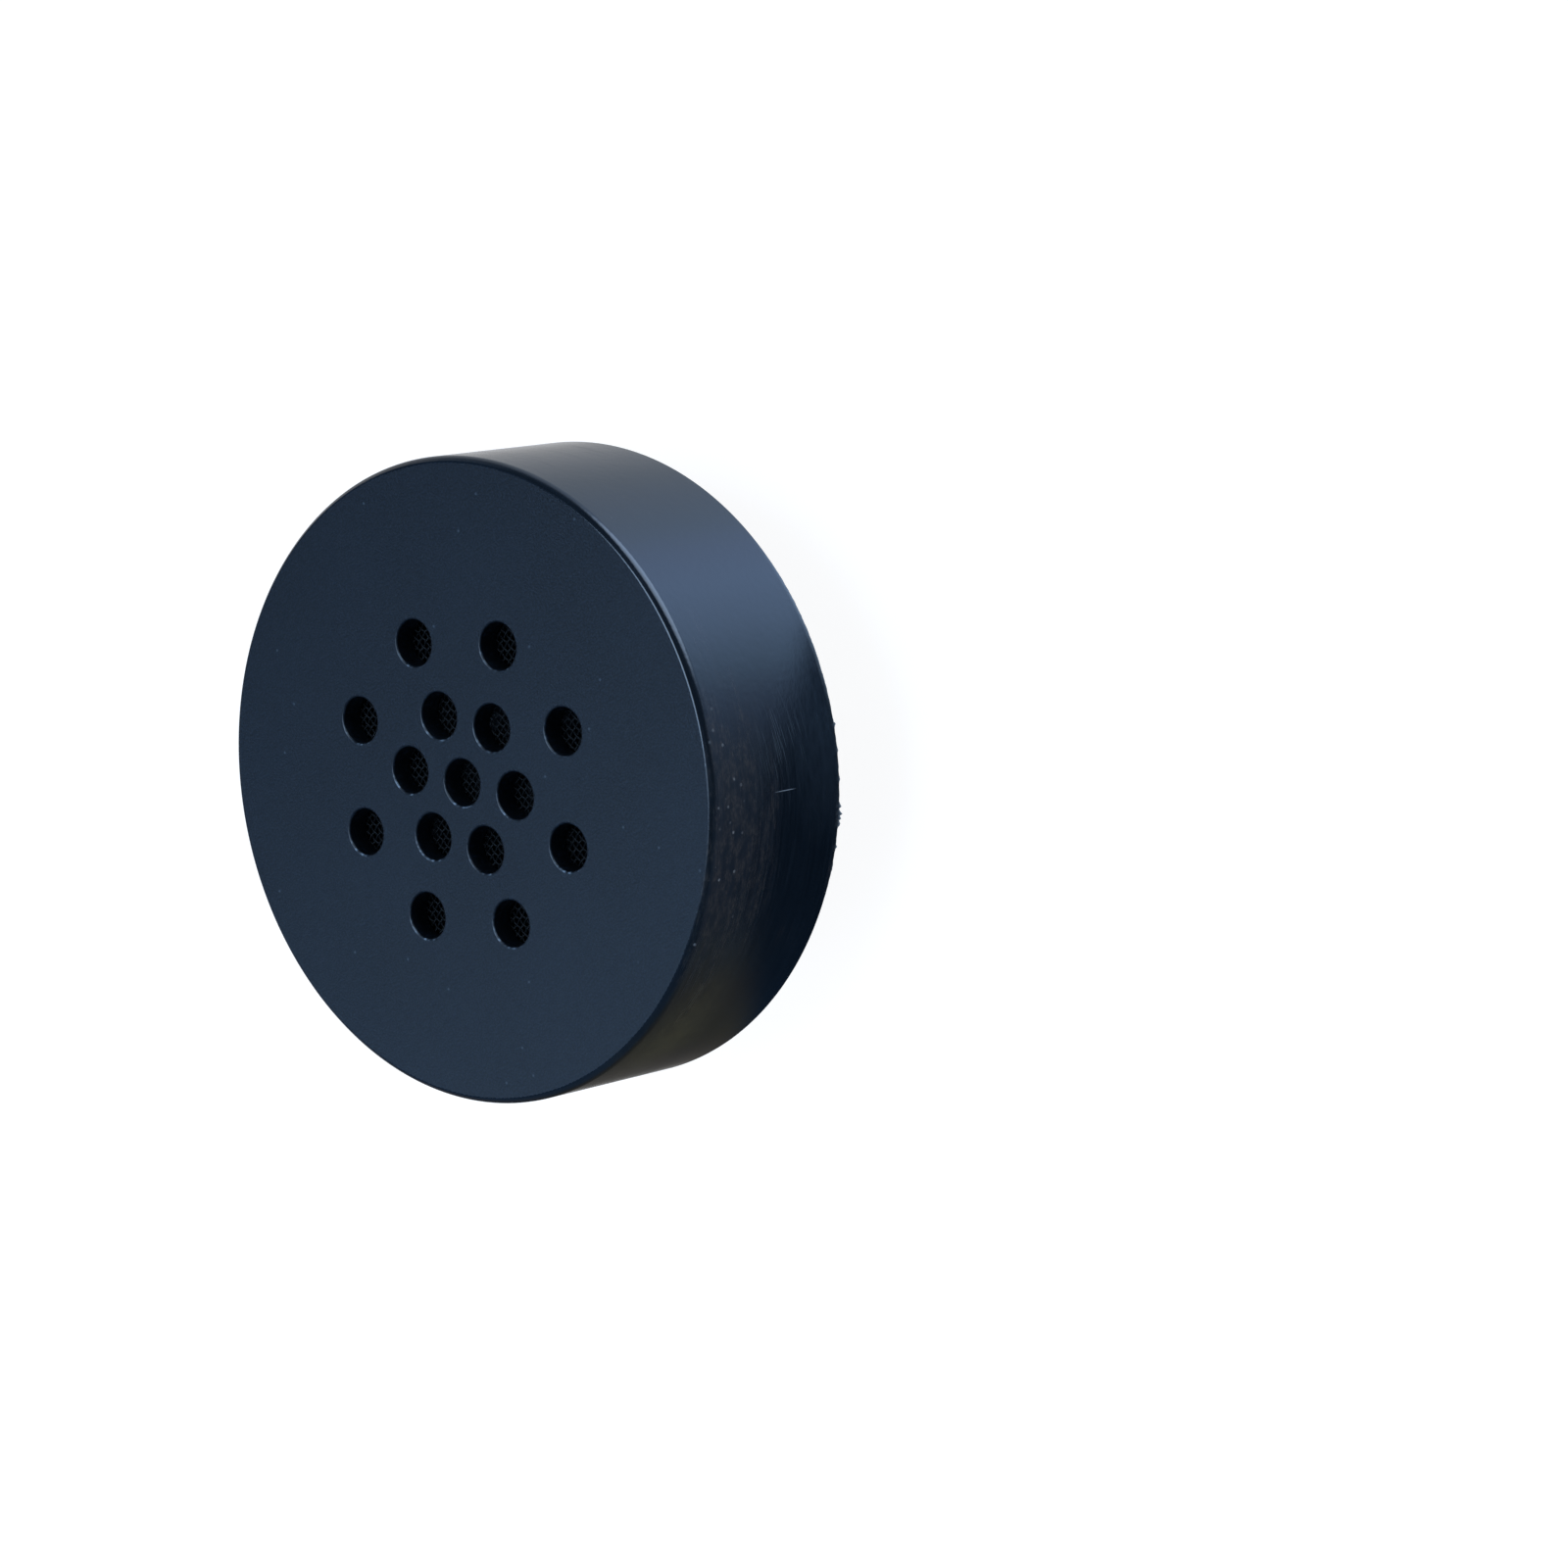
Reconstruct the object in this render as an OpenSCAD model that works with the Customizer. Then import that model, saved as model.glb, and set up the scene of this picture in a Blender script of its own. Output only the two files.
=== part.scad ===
// Miniature dynamic speaker for a printed circuit board.
// A round plastic cup with sound holes in its front holds a small moving-coil unit.
// A printed board with two solder pins closes the back and is sealed at its edge.
// +Z runs along the axis towards the sound holes, and z = 0 is the rear rim of the cup.
// The two pins stand on the X axis and point towards -Z, with the plus pin at +X.
// All sizes are in millimetres.

/* [Housing] */
// Diameter of the housing at its front face
body_d = 30; // [28:0.5:40]
// Height of the housing, from the rear rim to the front face
body_h = 8.8; // [8.7:0.1:12]
// Extra radius at the rear rim, which lets the cup leave its mould
draft = 0.15; // [0.05:0.05:0.4]
// Width of the chamfer round the front face
edge_break = 0.25; // [0.1:0.05:0.6]
// Thickness of the front wall
front_t = 1.1; // [0.8:0.1:1.2]
// Thickness of the side wall round the rear board
wall_t = 0.95; // [0.7:0.05:1.3]
// Width of the shoulder that the rear board rests on
shoulder = 0.45; // [0.3:0.05:0.8]
// Width of the chamfer inside the rear rim
rim_chamfer = 0.3; // [0.1:0.05:0.5]

/* [Sound holes] */
// Diameter of each sound hole
hole_d = 2.2; // [1:0.1:2.6]
// Distance of the inner ring of holes from the axis
inner_ring_r = 3.3; // [3:0.1:3.8]
// Distance of the outer ring of holes from the axis
outer_ring_r = 6.9; // [6.6:0.1:9]
// Number of holes in the inner ring
inner_holes = 6; // [3:1:6]
// Number of holes in the outer ring
outer_holes = 8; // [4:1:12]

/* [Rear board] */
// Depth of the rear board below the rear rim
recess = 1.2; // [0.9:0.1:1.3]
// Thickness of the rear board
board_t = 1; // [0.8:0.1:1.1]
// Gap between the rear board and the wall round it
board_gap = 0.1; // [0.05:0.05:0.25]
// How far the sealant reaches over the board
sealant_w = 1.3; // [0.8:0.1:1.6]
// How far the sealant climbs the wall
sealant_h = 0.85; // [0.5:0.05:0.85]
// Length of each stroke of the plus and minus marks
mark_len = 3.7; // [2:0.1:4]
// Width of each stroke of the marks
mark_w = 0.74; // [0.4:0.02:1]
// Thickness of the printed ink
mark_t = 0.03; // [0.02:0.01:0.05]

/* [Pins] */
// Diameter of each pin
pin_d = 1; // [0.6:0.1:1.2]
// Distance between the two pins
pin_pitch = 13.5; // [11:0.25:15]
// Length of each pin beyond the rear rim
pin_len = 6; // [3:0.5:10]
// Diameter of the solder round each pin, where it meets the board
solder_d = 2.75; // [2:0.05:3.2]
// Height of the solder round each pin
solder_h = 0.9; // [0.5:0.05:1.1]

/* [Magnet system] */
// Diameter of the magnet
magnet_d = 8; // [6.5:0.1:8.2]
// Thickness of the magnet
magnet_h = 1.2; // [0.8:0.1:1.3]
// Diameter of the top plate, which the voice coil moves round
plate_d = 8.3; // [8.1:0.1:9]
// Thickness of the top plate
plate_t = 0.7; // [0.5:0.1:0.8]
// Wall thickness of the yoke
yoke_wall = 0.75; // [0.6:0.05:1]
// Thickness of the floor of the yoke
yoke_floor_t = 0.5; // [0.4:0.05:0.6]

/* [Voice coil] */
// Height of the voice coil
coil_h = 1.6; // [1:0.1:1.9]
// Thickness of the winding
coil_t = 0.25; // [0.15:0.05:0.35]
// Air on each side of the winding
coil_gap = 0.2; // [0.15:0.05:0.3]
// How far the voice coil moves each way from rest
travel = 0.3; // [0.1:0.05:0.35]

/* [Diaphragm and basket] */
// Thickness of the diaphragm film
film_t = 0.08; // [0.05:0.01:0.12]
// Depth of the diaphragm's cone
cone_h = 0.4; // [0.2:0.05:0.5]
// Height of the dome in the middle of the diaphragm
dome_h = 0.8; // [0.4:0.05:0.9]
// Height of the rolled surround
roll_h = 0.45; // [0.2:0.05:0.5]
// Width of the rolled surround
roll_w = 2.6; // [1.5:0.1:3]
// Width of the land on which the edge of the diaphragm is clamped
land_w = 1.1; // [0.8:0.1:1.3]
// Thickness of the ring that clamps the edge of the diaphragm
clamp_t = 0.3; // [0.2:0.05:0.35]
// Thickness of the sheet that the basket is pressed from
sheet_t = 0.4; // [0.3:0.05:0.5]
// Diameter of each window in the floor of the basket
window_d = 2.6; // [1.5:0.1:3.2]
// Thickness of the dust screen
screen_t = 0.12; // [0.08:0.02:0.16]

/* [Wiring] */
// Diameter of the insulated wires
wire_d = 0.6; // [0.4:0.05:0.8]
// Diameter of the bare strands inside the insulated wires
core_d = 0.3; // [0.2:0.02:0.4]
// Diameter of the fine wires that lead out of the coil
lead_d = 0.12; // [0.08:0.01:0.16]
// Thickness of the terminal board on the back of the basket
terminal_t = 0.6; // [0.4:0.1:0.8]

/* [Hidden] */
$fn = 96;

// Radii of the housing and of what it holds
front_r = body_d / 2;
rear_r = front_r + draft;
bore_r = rear_r - wall_t;
unit_r = bore_r - shoulder;
board_r = bore_r - board_gap;
foot_r = bore_r - sealant_w;
glue_gap = 0.1;
rim_r = unit_r - glue_gap;
dish_r = rim_r - land_w;

// Radii of the magnet system, from the top plate outwards
plate_r = plate_d / 2;
coil_in = plate_r + coil_gap;
coil_out = coil_in + coil_t;
yoke_in = coil_out + coil_gap;
yoke_r = yoke_in + yoke_wall;
collar_r = yoke_r + sheet_t;

// Places of the pins, whose roots taper from just inside the solder to their inner ends
pin_x = pin_pitch / 2;
pin_r = pin_d / 2;
pin_tip = 0.12;
root_r = pin_r - 0.1;
root_z = recess - solder_h + 0.1;
pin_hole_gap = 0.05;
joint_r = pin_r + 0.4;
joint_taper = 0.2;

// Heights from the rear rim up to the wires and the terminal board between them
board_z = recess + board_t;
wire_gap = 0.3;
wire_z = board_z + wire_gap + wire_d / 2;
terminal_z = board_z + wire_d + 2 * wire_gap;
pin_top_z = wire_z + core_d / 2;
joint_cover = 0.1;
joint_h = pin_top_z - board_z + joint_cover;

// Heights of the basket and of the magnet system, which stands clear of the wires
floor_z = terminal_z + terminal_t;
collar_h = 0.7;
collar_z = floor_z - collar_h;
yoke_z = wire_z + wire_d / 2 + 0.1;
magnet_z = yoke_z + yoke_floor_t;
plate_z = magnet_z + magnet_h;
yoke_top_z = plate_z + plate_t;

// Heights of the diaphragm, whose neck stands clear of the yoke by more than the travel
neck_gap = 0.2;
neck_z = yoke_top_z + travel + neck_gap;
film_z = neck_z + cone_h;
clamp_z = film_z + film_t;
gasket_z = clamp_z + clamp_t;

// The gasket fills the room that is left behind the front wall and its dust screen
front_in_z = body_h - front_t;
screen_z = front_in_z - screen_t;
gasket_t = screen_z - gasket_z;

// Radii of the diaphragm's rolled surround, and the points on each of its curves
roll_out_r = dish_r - 0.1;
roll_in_r = roll_out_r - roll_w;
curve_steps = 16;

// Places of the slot, the terminals, the windows and the wires
slot_y = collar_r + 1.25;
slot_d = 0.8;
terminal_w = 8;
terminal_d = 2.6;
terminal_x = 2;
terminal_y = slot_y + slot_d / 2 + 0.2 + terminal_d / 2;
terminal_joint_r = 0.75;
slot_w = 2 * terminal_x + 1;
strip = 0.15;
run_x = terminal_x + terminal_joint_r + strip;
wire_bend_r = pin_x - run_x - 0.1;
window_ring_r = (collar_r + dish_r) / 2;
windows = 8;
cloth_t = 0.15;
cloth_edge = 0.5;
lead_z = neck_z - 0.05 - lead_d / 2;
lead_bend_r = 0.7;
lead_end_bend_r = 0.35;
lead_end_z = terminal_z - 0.25;

// Small sizes of the sealant and the marks, and what a cutter passes its cut by
sealant_foot_t = 0.03;
mark_x = foot_r - mark_len / 2;
eps = 0.01;

// A parabolic rise of 1 at the middle of its span, for t from 0 to 1
function rise(t) = 4 * t * (1 - t);

// A flat ring from radius a to radius b, h high, standing on z
module ring(a, b, z, h) {
  translate([0, 0, z])
    difference() {
      cylinder(r = b, h = h);
      translate([0, 0, -eps]) cylinder(r = a, h = h + 2 * eps);
    }
}

// A straight round rod between two heights or along the Y axis
module rod_z(d, x, y, z0, z1) {
  translate([x, y, z0]) cylinder(d = d, h = z1 - z0);
}

module rod_y(d, x, y0, y1, z) {
  translate([x, y0, z]) rotate([-90, 0, 0]) cylinder(d = d, h = y1 - y0);
}

module rod_x(d, x0, x1, y, z) {
  translate([x0, y, z]) rotate([0, 90, 0]) cylinder(d = d, h = x1 - x0);
}

// A quarter bend of a round rod, in the XY plane, from -Y round to +X
module quarter_bend(d, r) {
  rotate([0, 0, -90]) rotate_extrude(angle = 90) translate([r, 0]) circle(d = d);
}

module hole_ring(count, r, start) {
  for (i = [0 : count - 1])
    rotate([0, 0, start + i * 360 / count])
      translate([r, 0, front_in_z - 1]) cylinder(d = hole_d, h = front_t + 2);
}

module housing() {
  color([0.15, 0.19, 0.25])
    difference() {
      rotate_extrude()
        polygon([
          [0, front_in_z],
          [unit_r, front_in_z],
          [unit_r, board_z],
          [bore_r, board_z],
          [bore_r, rim_chamfer],
          [bore_r + rim_chamfer, 0],
          [rear_r, 0],
          [front_r, body_h - edge_break],
          [front_r - edge_break, body_h],
          [0, body_h]
        ]);
      hole_ring(1, 0, 0);
      hole_ring(inner_holes, inner_ring_r, 90);
      hole_ring(outer_holes, outer_ring_r, 0);
    }
}

module dust_screen() {
  color([0.07, 0.08, 0.1])
    translate([0, 0, screen_z]) cylinder(r = rim_r, h = screen_t);
}

module front_gasket() {
  color([0.2, 0.2, 0.2]) ring(dish_r, rim_r, gasket_z, gasket_t);
}

module clamp_ring() {
  color([0.55, 0.45, 0.3]) ring(dish_r, rim_r, clamp_z, clamp_t);
}

// The film's lower side: dome, neck, cone, rolled surround and flat edge
film_line = concat(
  [for (i = [0 : curve_steps - 1])
    let (r = coil_in * i / curve_steps) [r, neck_z + dome_h * (1 - pow(r / coil_in, 2))]],
  [[coil_in, neck_z], [coil_out, neck_z]],
  [for (i = [0 : curve_steps])
    let (t = i / curve_steps) [roll_in_r + t * (roll_out_r - roll_in_r), film_z + roll_h * rise(t)]],
  [[rim_r, film_z]]
);

module diaphragm() {
  last = len(film_line) - 1;
  color([0.16, 0.15, 0.14])
    rotate_extrude()
      polygon(concat(
        film_line,
        [for (i = [0 : last]) film_line[last - i] + [0, film_t]]
      ));
}

module voice_coil() {
  color([0.72, 0.4, 0.2]) ring(coil_in, coil_out, neck_z - coil_h, coil_h);
}

// A fine wire from the coil, over the yoke and down through the slot to its terminal
module coil_lead(side) {
  x = side * terminal_x;
  coil_y = sqrt(pow(coil_out, 2) - pow(terminal_x, 2));
  color([0.75, 0.42, 0.22]) {
    rod_y(lead_d, x, lead_bend_r - slot_y, -coil_y, lead_z);
    translate([x, lead_bend_r - slot_y, lead_z - lead_bend_r])
      rotate([0, -90, 180]) rotate([0, 0, 90]) quarter_bend(lead_d, lead_bend_r);
    rod_z(lead_d, x, -slot_y, lead_end_z + lead_end_bend_r, lead_z - lead_bend_r);
    translate([x, -slot_y - lead_end_bend_r, lead_end_z + lead_end_bend_r])
      rotate([0, -90, 180]) rotate([0, 0, -90]) quarter_bend(lead_d, lead_end_bend_r);
    rod_y(lead_d, x, -terminal_y, -slot_y - lead_end_bend_r, lead_end_z);
  }
}

module coil_lead_plus() {
  coil_lead(1);
}

module coil_lead_minus() {
  coil_lead(-1);
}

module basket() {
  color([0.7, 0.7, 0.68])
    difference() {
      rotate_extrude()
        polygon([
          [yoke_r, collar_z],
          [collar_r, collar_z],
          [collar_r, floor_z],
          [dish_r + sheet_t, floor_z],
          [dish_r + sheet_t, film_z - sheet_t],
          [rim_r, film_z - sheet_t],
          [rim_r, film_z],
          [dish_r, film_z],
          [dish_r, floor_z + sheet_t],
          [yoke_r, floor_z + sheet_t]
        ]);
      for (i = [1 : windows - 1])
        rotate([0, 0, i * 360 / windows - 90])
          translate([window_ring_r, 0, floor_z - 1]) cylinder(d = window_d, h = sheet_t + 2);
      translate([-slot_w / 2, -slot_y - slot_d / 2, floor_z - 0.1])
        cube([slot_w, slot_d, sheet_t + 0.2]);
    }
}

module vent_cloth() {
  half = window_d / 2 + cloth_edge;
  notch_w = terminal_w + 2 * cloth_edge;
  color([0.1, 0.1, 0.1])
    difference() {
      ring(window_ring_r - half, window_ring_r + half, floor_z - cloth_t, cloth_t);
      translate([-notch_w / 2, -front_r, floor_z - cloth_t - eps])
        cube([notch_w, front_r, cloth_t + 2 * eps]);
    }
}

module yoke() {
  color([0.62, 0.63, 0.65])
    difference() {
      translate([0, 0, yoke_z]) cylinder(r = yoke_r, h = yoke_top_z - yoke_z);
      translate([0, 0, magnet_z]) cylinder(r = yoke_in, h = yoke_top_z - magnet_z + 1);
    }
}

module magnet() {
  color([0.75, 0.76, 0.78]) translate([0, 0, magnet_z]) cylinder(d = magnet_d, h = magnet_h);
}

module top_plate() {
  color([0.65, 0.66, 0.68]) translate([0, 0, plate_z]) cylinder(r = plate_r, h = plate_t);
}

module terminal_board() {
  color([0.45, 0.3, 0.15])
    translate([-terminal_w / 2, -terminal_y - terminal_d / 2, terminal_z])
      cube([terminal_w, terminal_d, terminal_t]);
}

// The bare ends of an insulated wire, which the solder is cut to fit
module wire_ends(side) {
  mirror([side < 0 ? 1 : 0, 0, 0]) {
    rod_x(core_d, terminal_x, run_x, -terminal_y, wire_z);
    rod_y(core_d, pin_x, -joint_r - strip, -pin_r, wire_z);
  }
}

// An insulated wire from a terminal, round one bend and on to its pin
module lead_wire(side) {
  wire_ends(side);
  mirror([side < 0 ? 1 : 0, 0, 0]) {
    rod_x(wire_d, run_x, pin_x - wire_bend_r, -terminal_y, wire_z);
    translate([pin_x - wire_bend_r, wire_bend_r - terminal_y, wire_z])
      quarter_bend(wire_d, wire_bend_r);
    rod_y(wire_d, pin_x, wire_bend_r - terminal_y, -joint_r - strip, wire_z);
  }
}

module lead_wire_plus() {
  color([0.7, 0.1, 0.1]) lead_wire(1);
}

module lead_wire_minus() {
  color([0.1, 0.1, 0.1]) lead_wire(-1);
}

// Solder that joins a coil lead and an insulated wire under the terminal board
module terminal_solder(side) {
  h = terminal_z - wire_z + core_d / 2 + joint_cover;
  color([0.8, 0.81, 0.83])
    difference() {
      translate([side * terminal_x, -terminal_y, terminal_z - h])
        cylinder(r1 = terminal_joint_r - joint_taper, r2 = terminal_joint_r, h = h);
      wire_ends(side);
      rod_y(lead_d, side * terminal_x, -terminal_y, -slot_y, lead_end_z);
    }
}

module terminal_solder_plus() {
  terminal_solder(1);
}

module terminal_solder_minus() {
  terminal_solder(-1);
}

module rear_board() {
  color([0.04, 0.07, 0.09])
    difference() {
      translate([0, 0, recess]) cylinder(r = board_r, h = board_t);
      for (side = [-1, 1])
        translate([side * pin_x, 0, recess - 1]) cylinder(r = pin_r + pin_hole_gap, h = board_t + 2);
    }
}

module pin(side) {
  color([0.82, 0.83, 0.85])
    translate([side * pin_x, 0, 0]) {
      translate([0, 0, -pin_len]) cylinder(r1 = pin_r - pin_tip, r2 = pin_r, h = pin_tip);
      translate([0, 0, pin_tip - pin_len]) cylinder(r = pin_r, h = root_z + pin_len - pin_tip);
      translate([0, 0, root_z]) cylinder(r1 = pin_r, r2 = root_r, h = pin_top_z - root_z);
    }
}

module pin_plus() {
  pin(1);
}

module pin_minus() {
  pin(-1);
}

// Solder round a pin on the outer face of the rear board
module pin_solder(side) {
  r = solder_d / 2;
  color([0.8, 0.81, 0.83])
    difference() {
      translate([side * pin_x, 0, recess])
        rotate_extrude()
          polygon([
            [0, 0],
            [r, 0],
            [r - 0.05, -0.22 * solder_h],
            [pin_r + 0.62 * (r - pin_r), -0.55 * solder_h],
            [pin_r + 0.25 * (r - pin_r), -0.85 * solder_h],
            [pin_r, -solder_h],
            [0, -solder_h]
          ]);
      pin(side);
    }
}

module pin_solder_plus() {
  pin_solder(1);
}

module pin_solder_minus() {
  pin_solder(-1);
}

// Solder that joins an insulated wire to the inner end of its pin
module inner_solder(side) {
  color([0.8, 0.81, 0.83])
    difference() {
      translate([side * pin_x, 0, board_z]) cylinder(r1 = joint_r, r2 = joint_r - joint_taper, h = joint_h);
      pin(side);
      wire_ends(side);
    }
}

module inner_solder_plus() {
  inner_solder(1);
}

module inner_solder_minus() {
  inner_solder(-1);
}

// A hollow fillet of sealant between the rear board and the wall round it
module edge_sealant() {
  h = sealant_h - sealant_foot_t;
  r = (pow(sealant_w, 2) + pow(h, 2)) / (2 * h);
  color([0.02, 0.03, 0.04])
    rotate_extrude()
      difference() {
        translate([foot_r, recess - sealant_h]) square([sealant_w, sealant_h]);
        translate([foot_r, recess - sealant_foot_t - r]) circle(r = r);
      }
}

// One stroke of a mark, with round ends
module stroke() {
  run = (mark_len - mark_w) / 2;
  square([2 * run, mark_w], center = true);
  for (end = [-1, 1])
    translate([end * run, 0]) circle(d = mark_w);
}

module mark_ink(x) {
  color([0.85, 0.98, 0.99])
    translate([x, 0, recess - mark_t]) linear_extrude(mark_t) children();
}

module plus_mark() {
  mark_ink(mark_x) {
    stroke();
    rotate(90) stroke();
  }
}

module minus_mark() {
  mark_ink(-mark_x) stroke();
}

housing();
dust_screen();
front_gasket();
clamp_ring();
diaphragm();
voice_coil();
coil_lead_plus();
coil_lead_minus();
basket();
vent_cloth();
yoke();
magnet();
top_plate();
terminal_board();
terminal_solder_plus();
terminal_solder_minus();
lead_wire_plus();
lead_wire_minus();
rear_board();
pin_plus();
pin_minus();
pin_solder_plus();
pin_solder_minus();
inner_solder_plus();
inner_solder_minus();
edge_sealant();
plus_mark();
minus_mark();
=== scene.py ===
"""Visible pieces and stage of a miniature speaker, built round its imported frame.

Lengths in the making functions are in millimetres, and each mesh is scaled to metres once.
"""

import bpy
import numpy as np
from bpy.props import FloatProperty, FloatVectorProperty, IntProperty, PointerProperty
from mathutils import Matrix, Vector
from mathutils.geometry import delaunay_2d_cdt


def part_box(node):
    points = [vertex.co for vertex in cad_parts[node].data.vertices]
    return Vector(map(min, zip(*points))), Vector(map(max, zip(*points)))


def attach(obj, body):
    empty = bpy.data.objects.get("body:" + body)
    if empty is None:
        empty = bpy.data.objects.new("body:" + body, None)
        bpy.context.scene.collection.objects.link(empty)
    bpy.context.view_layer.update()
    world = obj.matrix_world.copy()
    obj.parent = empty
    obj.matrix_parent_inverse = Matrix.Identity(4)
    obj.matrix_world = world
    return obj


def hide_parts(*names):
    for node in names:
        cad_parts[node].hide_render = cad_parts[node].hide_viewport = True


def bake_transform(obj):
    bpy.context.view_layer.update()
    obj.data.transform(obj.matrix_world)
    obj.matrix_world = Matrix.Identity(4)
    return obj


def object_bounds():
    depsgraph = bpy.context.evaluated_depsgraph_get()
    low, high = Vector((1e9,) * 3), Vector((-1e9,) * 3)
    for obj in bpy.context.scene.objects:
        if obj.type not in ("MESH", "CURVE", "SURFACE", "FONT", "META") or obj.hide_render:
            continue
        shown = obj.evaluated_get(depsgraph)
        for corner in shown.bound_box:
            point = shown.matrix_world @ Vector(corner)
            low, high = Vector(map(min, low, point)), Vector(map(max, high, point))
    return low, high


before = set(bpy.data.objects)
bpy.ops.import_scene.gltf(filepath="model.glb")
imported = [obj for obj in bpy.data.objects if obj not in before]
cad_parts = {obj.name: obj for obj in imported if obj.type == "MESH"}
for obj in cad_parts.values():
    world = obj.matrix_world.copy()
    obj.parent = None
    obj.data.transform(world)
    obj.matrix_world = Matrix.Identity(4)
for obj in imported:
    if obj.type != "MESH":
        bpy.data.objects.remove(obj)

bl_info = {
    "name": "Miniature Speaker",
    "version": (1, 0, 0),
    "blender": (4, 5, 0),
    "location": "3D View > Sidebar > Speaker",
    "description": "Builds the visible pieces and the stage of a miniature speaker",
    "category": "Object",
}

CAD_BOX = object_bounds()
MM = 0.001
UP = (0.0, 0.0, 1.0)


def span(node):
    """Lowest and highest corner of a frame node, in millimetres."""
    low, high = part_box(node)
    return np.array(low) / MM, np.array(high) / MM


def middle_and_half(node, axis):
    """Middle of a frame node along one axis, and half its width there."""
    low, high = span(node)
    return (low[axis] + high[axis]) / 2, (high[axis] - low[axis]) / 2


# Sizes that the frame's own boxes give
_, (REAR_R, _, FRONT_Z) = span("housing")
(_, _, SCREEN_LOW), (RIM_R, _, SCREEN_HIGH) = span("dust_screen")
FRONT_BACK_Z = SCREEN_HIGH
(_, _, BOARD_LOW), (_, _, BOARD_HIGH) = span("rear_board")
(_, _, PIN_TIP_Z), (_, _, PIN_TOP_Z) = span("pin_plus")
PIN_X, PIN_R = middle_and_half("pin_plus", 0)[0], middle_and_half("pin_plus", 1)[1]
(_, _, SOLDER_LOW), _ = span("pin_solder_plus")
SOLDER_R = middle_and_half("pin_solder_plus", 1)[1]
SOLDER_H = BOARD_LOW - SOLDER_LOW
(_, _, SEALANT_LOW), (WALL_R, _, _) = span("edge_sealant")
(_, _, COIL_LOW), (COIL_OUT, _, COIL_HIGH) = span("voice_coil")
(_, _, MARK_LOW), _ = span("plus_mark")
MARK_X, MARK_HALF = middle_and_half("plus_mark", 0)

# Sizes that repeat the part's own
FRONT_R = 15.0
EDGE_BREAK = 0.25
UNIT_R = 13.75
RIM_CHAMFER = 0.3
HOLE_R = 1.1
HOLE_RINGS = ((1, 0.0, 0.0), (6, 3.3, 90.0), (8, 6.9, 0.0))
SEALANT_FOOT_R = 12.9
SEALANT_FOOT = 0.03
COIL_IN = 4.35
FILM = 0.08
DOME_H = 0.8
CONE_H = 0.4
ROLL_H = 0.45
ROLL_IN, ROLL_OUT = 9.85, 12.45
LEAD_X, LEAD_R = 2.0, 0.06
MARK_HALF_W = 0.37
PIN_CHAMFER = 0.12

# Share of the front edge's rounding that its inner corner has
FACE_CORNER = 0.4


# ---------------------------------------------------------------- settings


class SpeakerSizes(bpy.types.PropertyGroup):
    """Sizes of the small shapes that the visible pieces add to the frame"""

    edge_round: FloatProperty(
        name="Edge rounding",
        description="Radius where the front chamfer meets the side, 2.5 times that at the face",
        default=0.45 * MM,
        precision=6,
        unit="LENGTH",
    )
    lip_round: FloatProperty(
        name="Lip rounding",
        description="Radius on the front lip of each sound hole",
        default=0.09 * MM,
        precision=6,
        unit="LENGTH",
    )
    burr: FloatProperty(
        name="Burr",
        description="How far the torn flash stands out from the rear rim",
        default=0.42 * MM,
        precision=6,
        unit="LENGTH",
    )
    thread_pitch: FloatProperty(
        name="Thread pitch",
        description="Distance between the threads of the dust screen",
        default=0.3 * MM,
        precision=6,
        unit="LENGTH",
    )
    thread_width: FloatProperty(
        name="Thread width",
        description="Width of one flattened thread of the dust screen",
        default=0.13 * MM,
        precision=6,
        unit="LENGTH",
    )
    screen_turn: FloatProperty(
        name="Screen turn",
        description="Angle between the threads and the line through the pins",
        default=np.radians(28),
        subtype="ANGLE",
    )
    seed: IntProperty(
        name="Seed",
        description="Picks the torn edges and the uneven solder",
        default=11,
    )


class SpeakerColours(bpy.types.PropertyGroup):
    """Colours of the outer finishes"""

    plastic: FloatVectorProperty(
        name="Plastic",
        description="Blue-black of the moulded cup",
        default=(0.0026, 0.0048, 0.008),
        subtype="COLOR",
    )
    board: FloatVectorProperty(
        name="Board",
        description="Lacquer on the rear board",
        default=(0.0025, 0.004, 0.006),
        subtype="COLOR",
    )
    ink: FloatVectorProperty(
        name="Ink",
        description="Pale ink of the plus and minus marks",
        default=(0.72, 0.94, 0.93),
        subtype="COLOR",
    )
    tin: FloatVectorProperty(
        name="Tin",
        description="Tin on the pins and the solder",
        default=(0.8, 0.82, 0.84),
        subtype="COLOR",
    )
    thread: FloatVectorProperty(
        name="Thread",
        description="Threads of the dust screen",
        default=(0.0016, 0.002, 0.0022),
        subtype="COLOR",
    )


class SpeakerStage(bpy.types.PropertyGroup):
    """Floor, lights and camera"""

    floor: FloatVectorProperty(
        name="Floor",
        description="Colour of the floor",
        default=(0.2, 0.2, 0.2),
        subtype="COLOR",
    )
    floor_glow: FloatProperty(
        name="Floor glow",
        description="Light that the floor gives back by itself, as a lit table does",
        default=0.93,
    )
    lamp: FloatProperty(
        name="Lamp",
        description="Strength of the wide lamp above the floor",
        default=0.4,
    )
    panel: FloatProperty(
        name="Panel",
        description="Power of the small soft panel close over the near edge",
        default=0.015,
    )
    room: FloatProperty(
        name="Room",
        description="Strength of the soft light from all round",
        default=1.0,
    )
    lens: FloatProperty(
        name="Lens",
        description="Focal length of the camera",
        default=91.98607,
        unit="CAMERA",
    )


# ---------------------------------------------------------------- shapes


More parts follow.
